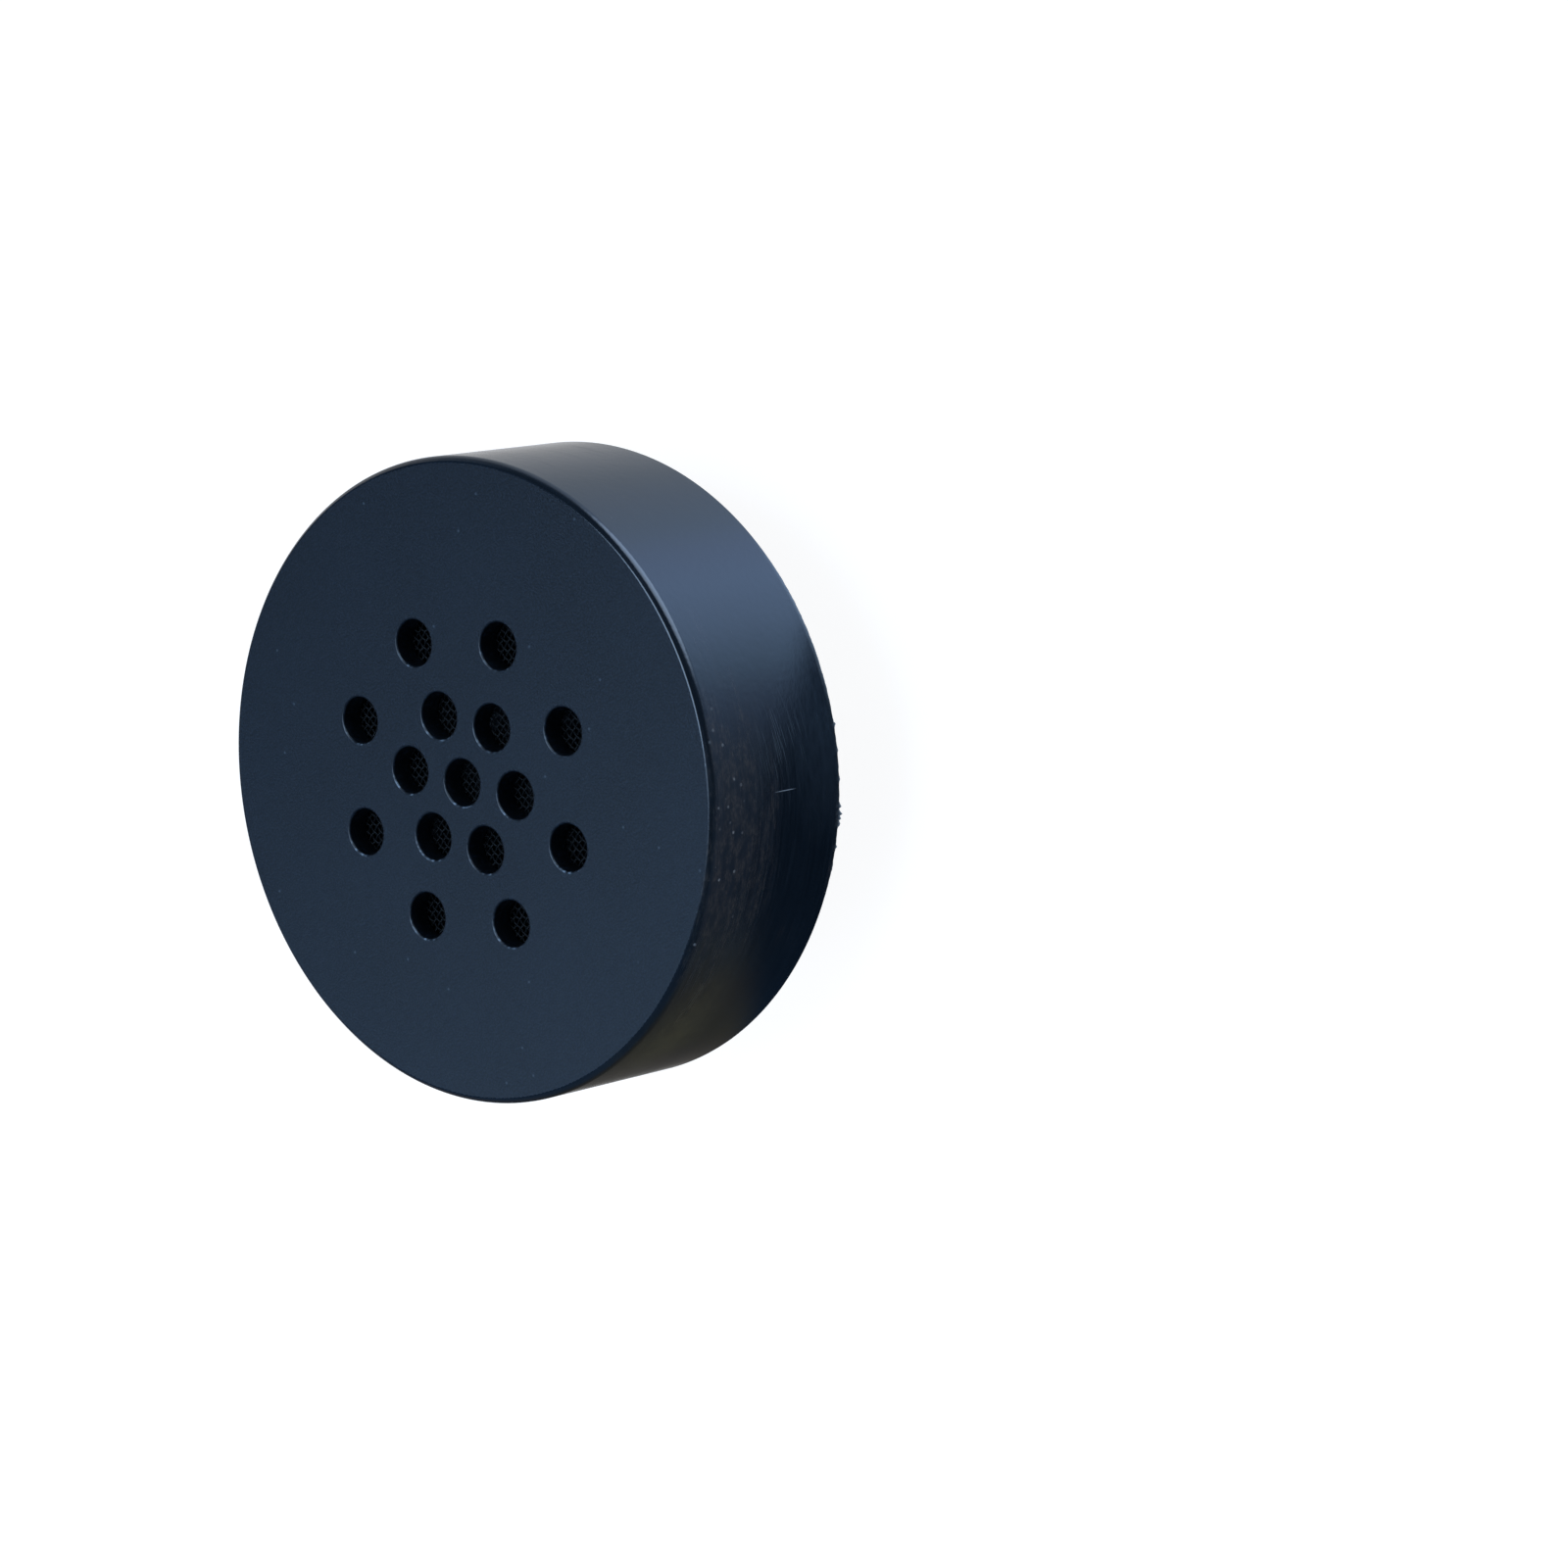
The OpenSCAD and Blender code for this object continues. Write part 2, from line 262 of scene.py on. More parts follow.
def grid_triangles(rows, columns, closed=True):
    """Two triangles for each cell of a grid of points, row by row.
    A closed grid joins its last column to its first."""
    i = np.arange(rows - 1)[:, None]
    j = np.arange(columns if closed else columns - 1)[None, :]
    a, b = i * columns + j, i * columns + (j + 1) % columns
    c, d = a + columns, b + columns
    pairs = [np.stack([a, b, d], -1), np.stack([a, d, c], -1)]
    return np.concatenate([p.reshape(-1, 3) for p in pairs])


def rounded(corners, steps=5):
    """A line through (across, height, radius) corners, each rounded to its radius.
    The rounding is the arc that touches both straight sides. Each point's normal is square to
    the line, on its right-hand side, and turns with the arc. The first and last corners stay."""
    corners = np.array(corners, float)
    p, radius = corners[:, :2], corners[1:-1, 2, None, None]
    way = np.diff(p, axis=0)
    way /= np.linalg.norm(way, axis=1, keepdims=True)
    heading = np.arctan2(way[:, 1], way[:, 0])
    turn = (np.diff(heading) + np.pi) % (2 * np.pi) - np.pi
    side = np.sign(turn)[:, None, None]
    reach = radius[:, 0] * np.abs(np.tan(turn / 2))[:, None]
    start = p[1:-1] - way[:-1] * reach
    angle = heading[:-1, None] + turn[:, None] * np.linspace(0, 1, steps + 1)
    right = np.stack([np.sin(angle), -np.cos(angle)], -1)
    arcs = start[:, None] + side * radius * (right - right[:, :1])
    ends = np.stack([way[[0, -1], 1], -way[[0, -1], 0]], -1)
    line = np.concatenate([p[:1], arcs.reshape(-1, 2), p[-1:]])
    return line, np.concatenate([ends[:1], right.reshape(-1, 2), ends[1:]])


def revolve(line, normals, angles, centre=(0.0, 0.0)):
    """A line turned round the Z axis through centre: (x, y, z) = (r cos a, r sin a, z)."""
    cos, sin = np.cos(angles), np.sin(angles)

    def turned(v):
        level = np.repeat(v[:, 1, None], len(angles), 1)
        return np.stack([v[:, 0, None] * cos, v[:, 0, None] * sin, level], -1).reshape(-1, 3)

    points = turned(line) + (centre[0], centre[1], 0.0)
    return points, turned(normals), grid_triangles(len(line), len(angles))


def circle_angles(count):
    return np.arange(count) * 2 * np.pi / count


def polar(r, angle):
    """Level points at a radius and an angle: (r cos a, r sin a)."""
    return np.stack([r * np.cos(angle), r * np.sin(angle)], -1)


def hole_centres():
    """Centres of the sound holes: one in the middle, then two rings at even angles."""
    rings = [polar(r, np.radians(first) + circle_angles(n)) for n, r, first in HOLE_RINGS]
    return np.concatenate(rings)


def plate(outline, centres, hole_r, hole_angles, z, side):
    """A flat plate at height z, facing up for side 1 and down for -1: the Delaunay
    triangles of its outline and of the circles round its holes, less those in a hole."""
    ring = polar(hole_r, hole_angles)
    loops = [outline] + [c + ring for c in centres]
    flat = np.concatenate(loops)
    first = np.cumsum([0] + [len(loop) for loop in loops[:-1]])
    edges = np.concatenate(
        [
            np.stack([s + np.arange(len(loop)), s + (np.arange(len(loop)) + 1) % len(loop)], -1)
            for s, loop in zip(first, loops)
        ]
    )
    _, _, faces, origin, _, _ = delaunay_2d_cdt(
        [Vector(v) for v in flat.tolist()], edges.tolist(), [], 0, 1e-7
    )
    faces = np.array([o[0] for o in origin])[np.array([list(f) for f in faces])]
    corners = flat[faces]
    middle = corners.mean(1)
    away = np.linalg.norm(middle[:, None] - centres[None], axis=-1).min(1)
    faces, corners = faces[away > hole_r], corners[away > hole_r]
    u, v = corners[:, 1] - corners[:, 0], corners[:, 2] - corners[:, 0]
    wrong = (u[:, 0] * v[:, 1] - u[:, 1] * v[:, 0]) * side < 0
    faces[wrong] = faces[wrong][:, ::-1]
    points = np.column_stack([flat, np.full(len(flat), z)])
    return points, np.tile([0.0, 0.0, float(side)], (len(flat), 1)), faces


def carry(path, radius, sides=8):
    """A part: a round section carried along a path of points, drawn to a point at both ends.
    The section stands square to the path, on a side vector kept level: its points are
    p + r (cos a * side + sin a * above)."""
    way = np.gradient(path, axis=0)
    way /= np.linalg.norm(way, axis=1, keepdims=True)
    across = np.cross(way, UP)
    steep = np.linalg.norm(across, axis=1) < 0.2
    across[steep] = np.cross(way[steep], (0.0, 1.0, 0.0))
    across /= np.linalg.norm(across, axis=1, keepdims=True)
    above = np.cross(across, way)
    a = circle_angles(sides)[None, :, None]
    ring = np.cos(a) * across[:, None] + np.sin(a) * above[:, None]
    size = np.full(len(path), radius)
    size[[0, -1]] = 0
    return shell_part(path[:, None] + size[:, None, None] * ring, flip=True)


def surface_normals(points, faces):
    """Each point's normal: the sum of the triangles' area vectors round it, made one long."""
    a, b, c = (points[faces[:, k]] for k in range(3))
    area = np.cross(b - a, c - a)
    total = np.zeros_like(points)
    for k in range(3):
        np.add.at(total, faces[:, k], area)
    return total / np.maximum(np.linalg.norm(total, axis=1, keepdims=True), 1e-30)


def lathe(line, count):
    """A closed (r, z) line turned round the axis in count steps, as a part with finish 0."""
    points, _, faces = revolve(line, np.zeros_like(line), circle_angles(count))
    return points, surface_normals(points, faces), faces, 0


def rows_round(x, r, angle, z):
    """Rows of points round the upright line at (x, 0): (x + r cos a, r sin a, z)."""
    return np.stack(np.broadcast_arrays(x + r * np.cos(angle), r * np.sin(angle), z), -1)


def shell_part(rows, flip=False):
    """Rows of points, each once round a closed shape, as a part with finish 0."""
    faces = grid_triangles(*rows.shape[:2])
    return rows.reshape(-1, 3), None, faces[:, ::-1] if flip else faces, 0


def smooth_random(rng, at, knots, low, high):
    """Straight lines between random values, one for each knot."""
    return np.interp(at, knots, rng.uniform(low, high, len(knots)))


def random_waves(rng, a, orders, fade):
    """Two random functions of the angle a. Each is the sum of h cos(k a + s) over the orders
    k, where h is random and falls with the power fade of k, and s is a random start."""
    k = np.array(orders)
    height = rng.uniform(-1, 1, (2, len(k))) / k**fade
    start = rng.uniform(0, 2 * np.pi, (2, len(k)))
    return (height[..., None] * np.cos(k[:, None] * a + start[..., None])).sum(1)


def link(name, data):
    """A new object for a mesh, a light or a camera, at the origin of the open scene."""
    made = bpy.data.objects.new(name, data)
    bpy.context.scene.collection.objects.link(made)
    return made


def link_mesh(name, points, faces, finishes):
    """A new object with a mesh of these points, in millimetres, and faces."""
    mesh = bpy.data.meshes.new(name)
    mesh.from_pydata((points * MM).tolist(), [], faces.tolist())
    for finish in finishes:
        mesh.materials.append(finish)
    return link(name, mesh)


def add_piece(name, parts, finishes, replaces, body="speaker", bend=None, wear_and_glint=None):
    """One piece from its surfaces, which are (points, normals, triangles, finish number).
    Points that meet become one, and a triangle that has shrunk to a line at a pole goes."""
    counts = np.cumsum([0] + [len(p[0]) for p in parts])
    points = np.concatenate([p[0] for p in parts])
    faces = np.concatenate([p[2] + n for p, n in zip(parts, counts)])
    finish = np.concatenate([np.full(len(p[2]), p[3]) for p in parts])
    exact = all(p[1] is not None for p in parts)
    key = np.round(points * 1e5).astype(np.int64)
    _, first, back = np.unique(key, axis=0, return_index=True, return_inverse=True)
    back = back.reshape(-1)
    if exact:
        normals = np.zeros((len(first), 3))
        np.add.at(normals, back, np.concatenate([p[1] for p in parts]))
        normals /= np.maximum(np.linalg.norm(normals, axis=1, keepdims=True), 1e-30)
    faces, points = back[faces], points[first]
    real = (faces != np.roll(faces, 1, axis=1)).all(1)
    faces, finish = faces[real], finish[real]
    piece = link_mesh(name, points, faces, finishes)
    mesh = piece.data
    mesh.polygons.foreach_set("use_smooth", np.ones(len(faces), bool))
    mesh.polygons.foreach_set("material_index", finish.astype(np.int32))
    if wear_and_glint is not None:
        layer = mesh.attributes.new("wear_and_glint", "FLOAT", "POINT")
        layer.data.foreach_set("value", wear_and_glint[first].astype(np.float32))
    mesh.update()
    if mesh.validate():
        raise RuntimeError(f"{name} has faces that Blender had to mend")
    if exact:
        mesh.normals_split_custom_set_from_vertices(normals.tolist())
    if bend:
        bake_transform(piece)
    else:
        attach(piece, body)
    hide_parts(*replaces)


# ---------------------------------------------------------------- finishes


def shade(colour, share):
    """The same colour, made lighter or darker."""
    return tuple(share * c for c in colour)


class Finish:
    """One node material, or the room's own nodes, under way. Each method adds nodes and hands
    back an output. Sizes are in millimetres, and patterns lie in the piece's coordinates."""

    def __init__(self, name, library=None):
        library = bpy.data.materials if library is None else library
        self.data = library.new(name)
        self.data.use_nodes = True
        self.tree = self.data.node_tree
        self.tree.nodes.clear()
        self.coordinates = self.add("TexCoord").outputs
        self.own = self.coordinates["Object"]

    def add(self, kind, inputs=(), **settings):
        node = self.tree.nodes.new("ShaderNode" + kind)
        for key, value in settings.items():
            setattr(node, key, value)
        for key, value in dict(inputs).items():
            if isinstance(value, bpy.types.NodeSocket):
                self.tree.links.new(value, node.inputs[key])
            else:
                node.inputs[key].default_value = value
        return node

    def place(self, size, at=(0, 0, 0), turn=(0, 0, 0)):
        """Coordinates in which one unit is size, centred on a place and turned in degrees."""
        size = np.broadcast_to(np.array(size, float), 3) * MM
        inputs = {
            "Vector": self.own,
            "Location": tuple(np.array(at, float) * MM),
            "Rotation": tuple(np.radians(turn)),
            "Scale": tuple(size),
        }
        return self.add("Mapping", inputs, vector_type="TEXTURE").outputs[0]

    def grain(self, size, detail=2.0, turn=(0, 0, 0)):
        inputs = {"Vector": self.place(size, turn=turn), "Scale": 1.0, "Detail": detail}
        return self.add("TexNoise", inputs).outputs[0]

    def remap(self, value, low, high, to_low=0.0, to_high=1.0, soft=False):
        names = ("Value", "From Min", "From Max", "To Min", "To Max")
        inputs = dict(zip(names, (value, low, high, to_low, to_high)))
        kind = "SMOOTHSTEP" if soft else "LINEAR"
        return self.add("MapRange", inputs, interpolation_type=kind).outputs[0]

    def between(self, value, low, high):
        """From low to high over the middle part of a pattern's own range."""
        return self.remap(value, 0.3, 0.7, low, high)

    def sum(self, a, b, operation="ADD"):
        return self.add("Math", {0: a, 1: b}, operation=operation).outputs[0]

    def times(self, a, b):
        return self.sum(a, b, "MULTIPLY")

    def tint(self, factor, a, b, blend="MIX"):
        """Colour a where factor is 0 and b where it is 1, or a with that share of b added."""
        a, b = (v if isinstance(v, bpy.types.NodeSocket) else (*v, 1.0) for v in (a, b))
        settings = {"data_type": "RGBA", "blend_type": blend}
        return self.add("Mix", {0: factor, 6: a, 7: b}, **settings).outputs[2]

    def shades(self, value, colour, low_share, high_share, low=0.3, high=0.7):
        """A colour times one share where value is low, and times the other where it is high."""
        ends = shade(colour, low_share), shade(colour, high_share)
        return self.tint(self.remap(value, low, high), *ends)

    def axis(self, index, vector=None):
        return self.add("SeparateXYZ", {0: vector or self.own}).outputs[index]

    def wear_and_glint(self):
        """How pale the piece's own points are: torn flash, and painted glints on the rear edge and
        the hole lips.
        """
        return self.add("Attribute", attribute_name="wear_and_glint").outputs["Fac"]

    def length(self, vector):
        return self.add("VectorMath", {0: vector}, operation="LENGTH").outputs["Value"]

    def specks(self, size, share, radius=0.12, turn=(0, 0, 0), space="3D"):
        """Scattered dots or, with a stretched size, scattered scratches: cells of that size,
        of which a share hold one, where the distance to the cell's own point is small. In a 2D
        space they lie on a flat face only."""
        inputs = {"Vector": self.place(size, turn=turn), "Scale": 1.0}
        cells = self.add("TexVoronoi", inputs, voronoi_dimensions=space)
        pick = self.add("SeparateColor", {0: cells.outputs["Color"]}).outputs[0]
        chosen = self.remap(pick, 1 - share, 1 - share + 0.001)
        near = self.remap(cells.outputs["Distance"], radius, radius * 0.4)
        return self.times(chosen, near)

    def falloff(self, at, size, turn=(0, 0, 0), edge=0.0):
        """1 in the middle of one ellipsoid with these half axes, falling evenly to 0 at its
        edge. The fall starts at the share called edge of the way out."""
        return self.remap(self.length(self.place(size, at, turn)), 1.0, edge)

    def spot(self, at, size, turn=(0, 0, 0)):
        """1 inside one ellipsoid with these half axes, and 0 outside it."""
        return self.falloff(at, size, turn, 0.6)

    def weave(self, pitch, turn):
        """Height of a plain weave: threads both ways that take turns on top, as the greater of
        two waves whose sign changes from one crossing to the next."""
        flat = self.place(pitch * 2, turn=(0, 0, turn))
        heights = []
        for index, other in ((0, 1), (1, 0)):
            run, cross = self.axis(index, flat), self.axis(other, flat)
            body = self.sum(self.times(cross, 2 * np.pi), 0.0, "SINE")
            body = self.sum(body, 0.0, "ABSOLUTE")
            swing = self.sum(self.times(run, 2 * np.pi), 0.0, "COSINE")
            heights.append(self.times(body, self.remap(swing, -1.0, 1.0, 0.4, 1.0)))
        return self.sum(heights[0], heights[1], "MAXIMUM")

    def bump(self, height, depth, normal=None):
        inputs = {"Height": height, "Distance": depth * MM, "Strength": 1.0}
        if normal is not None:
            inputs["Normal"] = normal
        return self.add("Bump", inputs).outputs[0]

    def done(self, base, rough, normal=None, **others):
        """Ends the material in a Principled shader, with others named after its inputs."""
        inputs = {"Base Color": base, "Roughness": rough, **others}
        if normal is not None:
            inputs["Normal"] = normal
        shader = self.add("BsdfPrincipled", inputs)
        self.add("OutputMaterial", {"Surface": shader.outputs[0]})
        return self.data


# Colour of plastic that has been torn, also used for the painted glints on the rear edge and the
# hole lips
TORN_AND_GLINT_PLASTIC = (0.3, 0.36, 0.42)


def face_plastic(colour):
    """Matt moulded plastic: fine grain, slow clouding, painted light that makes it a little lighter
    towards -Y, with stray dust and hair scratches."""
    f = Finish("moulded_face")
    cloud = f.grain(7.0, 3)
    fine = f.grain(0.11, 3)
    dust = f.specks(1.7, 0.13, 0.05, space="2D")
    hairs = f.specks((1.6, 0.06, 1.0), 0.03, 0.3, (0, 0, 35))
    base = f.shades(cloud, colour, 0.4, 0.9)
    base = f.tint(f.remap(fine, 0.4, 0.75, 0.0, 0.75), base, shade(colour, 3.4))
    # Painted light: the base colour is lifted towards -Y, as if more light fell there
    painted_light = f.remap(f.axis(1, f.place(1.0)), 14.0, -14.0)
    base = f.tint(painted_light, base, (0.0125, 0.0138, 0.015), "ADD")
    base = f.tint(f.times(dust, 0.55), base, (0.07, 0.09, 0.11))
    base = f.tint(f.times(hairs, 0.1), base, (0.08, 0.1, 0.12))
    rough = f.between(f.grain(0.45, 2), 0.48, 0.6)
    return f.done(base, rough, f.bump(fine, 0.02), IOR=1.4)


def on_side(degrees, z):
    """A place on the cup's side: (R cos a, R sin a, z)."""
    return (*polar(FRONT_R, np.radians(degrees)), z)


def side_plastic(colour):
    """Polished side of the cup: faint streaks that run round it, a scuffed and worn patch
    under the front edge with pale flecks, a yellowish-grey mottled patch beside it, a pale
    bluish painted sheen and a brushed patch nearer the rear rim, one bright scratch along it,
    torn edges that have gone pale, and a painted glint along the rear edge."""
    f = Finish("moulded_side")
    streak = f.grain((3.5, 3.5, 0.11), 4)
    broad = f.grain((5.0, 5.0, 0.6), 3)
    uneven = f.sum(f.times(f.sum(streak, -0.5), 1.1), f.times(f.sum(broad, -0.5), 1.4))
    scuff = f.sum(f.falloff(on_side(-30, 7.2), (9.5, 9.5, 3.8)), uneven)
    scuff = f.remap(scuff, 0.1, 0.75, soft=True)
    fine = f.grain((0.2, 0.2, 0.07), 3)
    base = f.shades(streak, colour, 0.6, 1.3, low=0.35)
    blotch = f.grain((0.7, 0.7, 0.3), 4)
    worn = f.times(scuff, f.remap(fine, 0.42, 0.62, 0.1, 0.9))
    worn = f.times(worn, f.remap(blotch, 0.4, 0.6, 0.0, 1.0))
    base = f.tint(worn, base, (0.027, 0.0235, 0.0215))
    base = f.tint(f.times(f.specks(1.3, 0.2, 0.035), 0.4), base, (0.11, 0.12, 0.13))
    flecks = f.times(f.specks(0.6, 0.8, 0.16), f.falloff(on_side(-34, 8.0), (9.0, 9.0, 1.8)))
    base = f.tint(flecks, base, (0.2, 0.215, 0.23))
    mottled = f.remap(blotch, 0.35, 0.65, 0.4, 1.0)
    # A yellowish-grey mottled patch at -73 degrees
    yellowish_patch = f.remap(f.falloff(on_side(-73, 6.2), (6.5, 6.5, 3.2)), 0.0, 1.0, soft=True)
    yellowish_patch = f.times(yellowish_patch, mottled)
    base = f.tint(f.times(yellowish_patch, 0.9), base, (0.037, 0.0345, 0.02))
    # Painted sheen: a pale bluish lift near the rear rim at -12 degrees, mottled by the blotches
    rear = f.falloff(on_side(-12, 1.0), (6.0, 6.0, 3.4))
    rear = f.times(rear, f.remap(blotch, 0.35, 0.65, 0.55, 1.0))
    base = f.tint(rear, base, (0.0135, 0.0215, 0.032))
    brushed = f.specks((2.2, 2.2, 0.075), 0.5, 0.4, (12, 0, 0))
    brushed = f.times(brushed, f.falloff(on_side(-15, 3.9), (3.4, 3.4, 2.4)))
    base = f.tint(f.times(brushed, 0.9), base, (0.035, 0.05, 0.063))
    scratch = f.spot(on_side(-23.3, 3.85), (0.5, 0.026, 0.8), (0, 0, -23.3))
    # The torn flash, the painted glint along the rear edge and the scratch go pale
    pale = f.sum(f.times(scratch, 0.5), f.wear_and_glint(), "MAXIMUM")
    base = f.tint(pale, base, TORN_AND_GLINT_PLASTIC)
    rough = f.between(streak, 0.13, 0.2)
    rough = f.sum(rough, f.times(scuff, 0.16))
    mottle = f.grain(0.34, 3)
    relief = f.sum(f.times(fine, 1.5), f.times(mottle, 3.4))
    normal = f.bump(relief, 0.002)
    return f.done(base, rough, normal, IOR=1.5)


def inner_plastic(colour):
    """Smooth inside of the moulding: faint rings left by the mould, a light speckle, and painted
    glints on the lips of the holes."""
    f = Finish("moulded_inside")
    rings = f.grain((4.0, 4.0, 0.2), 2)
    speckle = f.grain(0.16, 3)
    base = f.shades(rings, colour, 0.45, 0.7)
    base = f.tint(f.remap(speckle, 0.55, 0.75, 0.0, 0.6), base, shade(colour, 6.0))
    # Painted glints: the pale spots on the hole lips are tinted in here
    base = f.tint(f.wear_and_glint(), base, TORN_AND_GLINT_PLASTIC)
    rough = f.between(rings, 0.3, 0.42)
    return f.done(base, rough, f.bump(speckle, 0.006))


def cloth(name, colour, pitch, turn, roughness=0.85):
    """Flat woven cloth, with painted shade that makes it darker between its threads."""
    f = Finish(name)
    height = f.weave(pitch, turn)
    uneven = f.grain(0.8, 2)
    # Painted shade: darker where the weave is low, between the threads
    base = f.shades(height, colour, 0.3, 1.0, 0.2, 0.9)
    base = f.tint(f.between(uneven, 0.0, 0.25), base, shade(colour, 1.6))
    return f.done(base, roughness, f.bump(height, pitch * 0.25))


def thread(colour):
    """Polyester thread with a slight sheen and a fine lengthwise grain."""
    f = Finish("screen_thread")
    fine = f.grain((0.3, 0.3, 0.02), 2)
    base = f.shades(fine, colour, 0.7, 1.3)
    rough = f.between(fine, 0.55, 0.7)
    return f.done(base, rough, **{"Specular IOR Level": 0.22})


def steel(name, colour, roughness, turned=0.0, rolled=0.0):
    """Plated steel: rings from turning where turned is their width, or else a grain from
    rolling at the angle rolled."""
    f = Finish(name)
    if turned:
        at = f.place(1.0)
        flat = f.add("VectorMath", {0: at, 1: (1.0, 1.0, 0.0)}, operation="MULTIPLY").outputs[0]
        rings = f.add("CombineXYZ", {0: f.length(flat), 2: f.axis(2, at)}).outputs[0]
        inputs = {"Vector": rings, "Scale": 1 / turned, "Detail": 3.0}
        grain = f.add("TexNoise", inputs).outputs[0]
    else:
        grain = f.grain((2.5, 0.06, 0.4), 3, (0, 0, rolled))
    cloud = f.grain(2.2, 3)
    base = f.shades(cloud, colour, 0.82, 1.0)
    base = f.tint(f.remap(grain, 0.45, 0.8, 0.0, 0.4), base, shade(colour, 0.6))
    rough = f.between(grain, roughness * 0.75, roughness * 1.3)
    return f.done(base, rough, f.bump(grain, 0.003), Metallic=1.0)


def card(name, colour, size=0.25, depth=0.02):
    """Pressed fibre: long mottled fibres over a soft clouding."""
    f = Finish(name)
    fibres = f.grain((size, size * 5, size), 4, (0, 0, 20))
    cloud = f.grain(1.5, 2)
    base = f.shades(fibres, colour, 0.6, 1.2)
    base = f.tint(f.remap(cloud, 0.4, 0.7, 0.0, 0.3), base, shade(colour, 0.7))
    return f.done(base, 0.85, f.bump(fibres, depth))


def film():
    """Smoke-tinted diaphragm film: gloss over a faint pressed grain."""
    f = Finish("diaphragm_film")
    fine = f.grain(0.4, 2)
    base = f.tint(f.between(fine, 0.0, 1.0), (0.008, 0.008, 0.009), (0.014, 0.0135, 0.013))
    rough = f.between(fine, 0.3, 0.4)
    return f.done(base, rough, f.bump(fine, 0.006))


def winding():
    """Turns of enamelled copper wire, one for each wave up the coil, with painted shade between the
    turns.
    """
    f = Finish("coil_winding")
    turns = f.sum(f.times(f.axis(2, f.place(0.07)), 2 * np.pi), 0.0, "SINE")
    cloud = f.grain(0.9, 2)
    # Painted shade: the copper goes dark between the turns
    base = f.tint(f.remap(turns, -1.0, 0.4), (0.1, 0.028, 0.01), (0.62, 0.24, 0.09))
    base = f.tint(f.remap(cloud, 0.4, 0.7, 0.0, 0.5), base, (0.5, 0.16, 0.06))
    return f.done(base, 0.28, f.bump(turns, 0.012), Metallic=0.85)


def insulation(name, colour):
    """Soft wire insulation: satin, faintly clouded, with fine extrusion grain."""
    f = Finish(name)
    fine = f.grain((0.05, 0.4, 0.05), 2)
    cloud = f.grain(0.7, 2)
    base = f.shades(cloud, colour, 0.75, 1.15)
    rough = f.between(fine, 0.35, 0.5)
    return f.done(base, rough, f.bump(fine, 0.003))


def solder(colour):
    """Bright solder: frosted patches and shallow freezing ripples."""
    f = Finish("bright_solder")
    frost = f.grain(0.35, 4)
    ripple = f.grain(0.14, 2)
    base = f.shades(frost, colour, 1.0, 0.72, 0.4, 0.65)
    rough = f.remap(frost, 0.35, 0.7, 0.1, 0.34)
    return f.done(base, rough, f.bump(ripple, 0.02), Metallic=0.85)


def tin(colour):
    """Tinned pin: drawn lines along it and dull patches."""
    f = Finish("pin_tin")
    lines = f.grain((0.05, 0.05, 2.5), 2)
    dull = f.grain(0.5, 3)
    base = f.shades(dull, colour, 1.0, 0.66, low=0.4)
    rough = f.sum(f.between(lines, 0.24, 0.36), f.remap(dull, 0.5, 0.7, 0.0, 0.14))
    return f.done(base, rough, f.bump(lines, 0.003), Metallic=0.65)


def cut_metal(colour):
    """Sheared end of a pin: flat, grey and scored one way."""
    f = Finish("cut_pin_end")
    scores = f.grain((0.5, 0.02, 0.2), 3, (0, 0, 40))
    base = f.shades(scores, colour, 0.4, 0.7)
    return f.done(base, 0.5, f.bump(scores, 0.006), Metallic=0.7)


def lacquer(colour):
    """Black gloss lacquer with hair scratches both ways, dust and a few wiped smears."""
    f = Finish("board_lacquer")
    marks = 0.0
    runs = ((6, 0.05, 0.05, 24), (3.5, 0.035, 0.03, -63), (8, 0.06, 0.04, 71))
    for length, width, share, turn in runs:
        hairs = f.specks((length, width, 2.0), share, 0.3, (0, 0, turn))
        marks = f.sum(marks, hairs, "MAXIMUM")
    dust = f.specks(1.1, 0.22, 0.035)
    smear = f.grain((5.0, 1.6, 3.0), 3, (0, 0, 30))
    base = f.shades(smear, colour, 1.0, 2.2, 0.45, 0.75)
    base = f.tint(f.times(marks, 0.16), base, (0.1, 0.13, 0.15))
    base = f.tint(f.times(dust, 0.6), base, (0.2, 0.22, 0.24))
    rough = f.sum(f.remap(smear, 0.35, 0.75, 0.07, 0.17), f.times(marks, 0.2))
    ripple = f.grain(1.2, 1)
    normal = f.bump(f.times(marks, -1.0), 0.001, f.bump(ripple, 0.004))
    return f.done(base, rough, normal, IOR=1.5)


def resin(colour):
    """Cured black sealant: gloss, with a lazy flow and a few pinholes."""
    f = Finish("sealant_resin")
    flow = f.grain(1.8, 2)
    pits = f.specks(0.9, 0.1, 0.06)
    base = f.shades(flow, colour, 0.8, 1.6)
    rough = f.between(flow, 0.08, 0.16)
    normal = f.bump(f.times(pits, -1.0), 0.02, f.bump(flow, 0.02))
    return f.done(base, rough, normal)


def ink(colour):
    """Printed ink: chalky, thin in places, with pinholes that show the board."""
    f = Finish("mark_ink")
    thin = f.grain(0.3, 3)
    pores = f.specks(0.14, 0.12, 0.25)
    base = f.shades(thin, colour, 1.0, 0.82, low=0.35)
    base = f.tint(f.times(pores, 0.5), base, (0.2, 0.25, 0.26))
    return f.done(base, 0.55, f.bump(thin, 0.01))


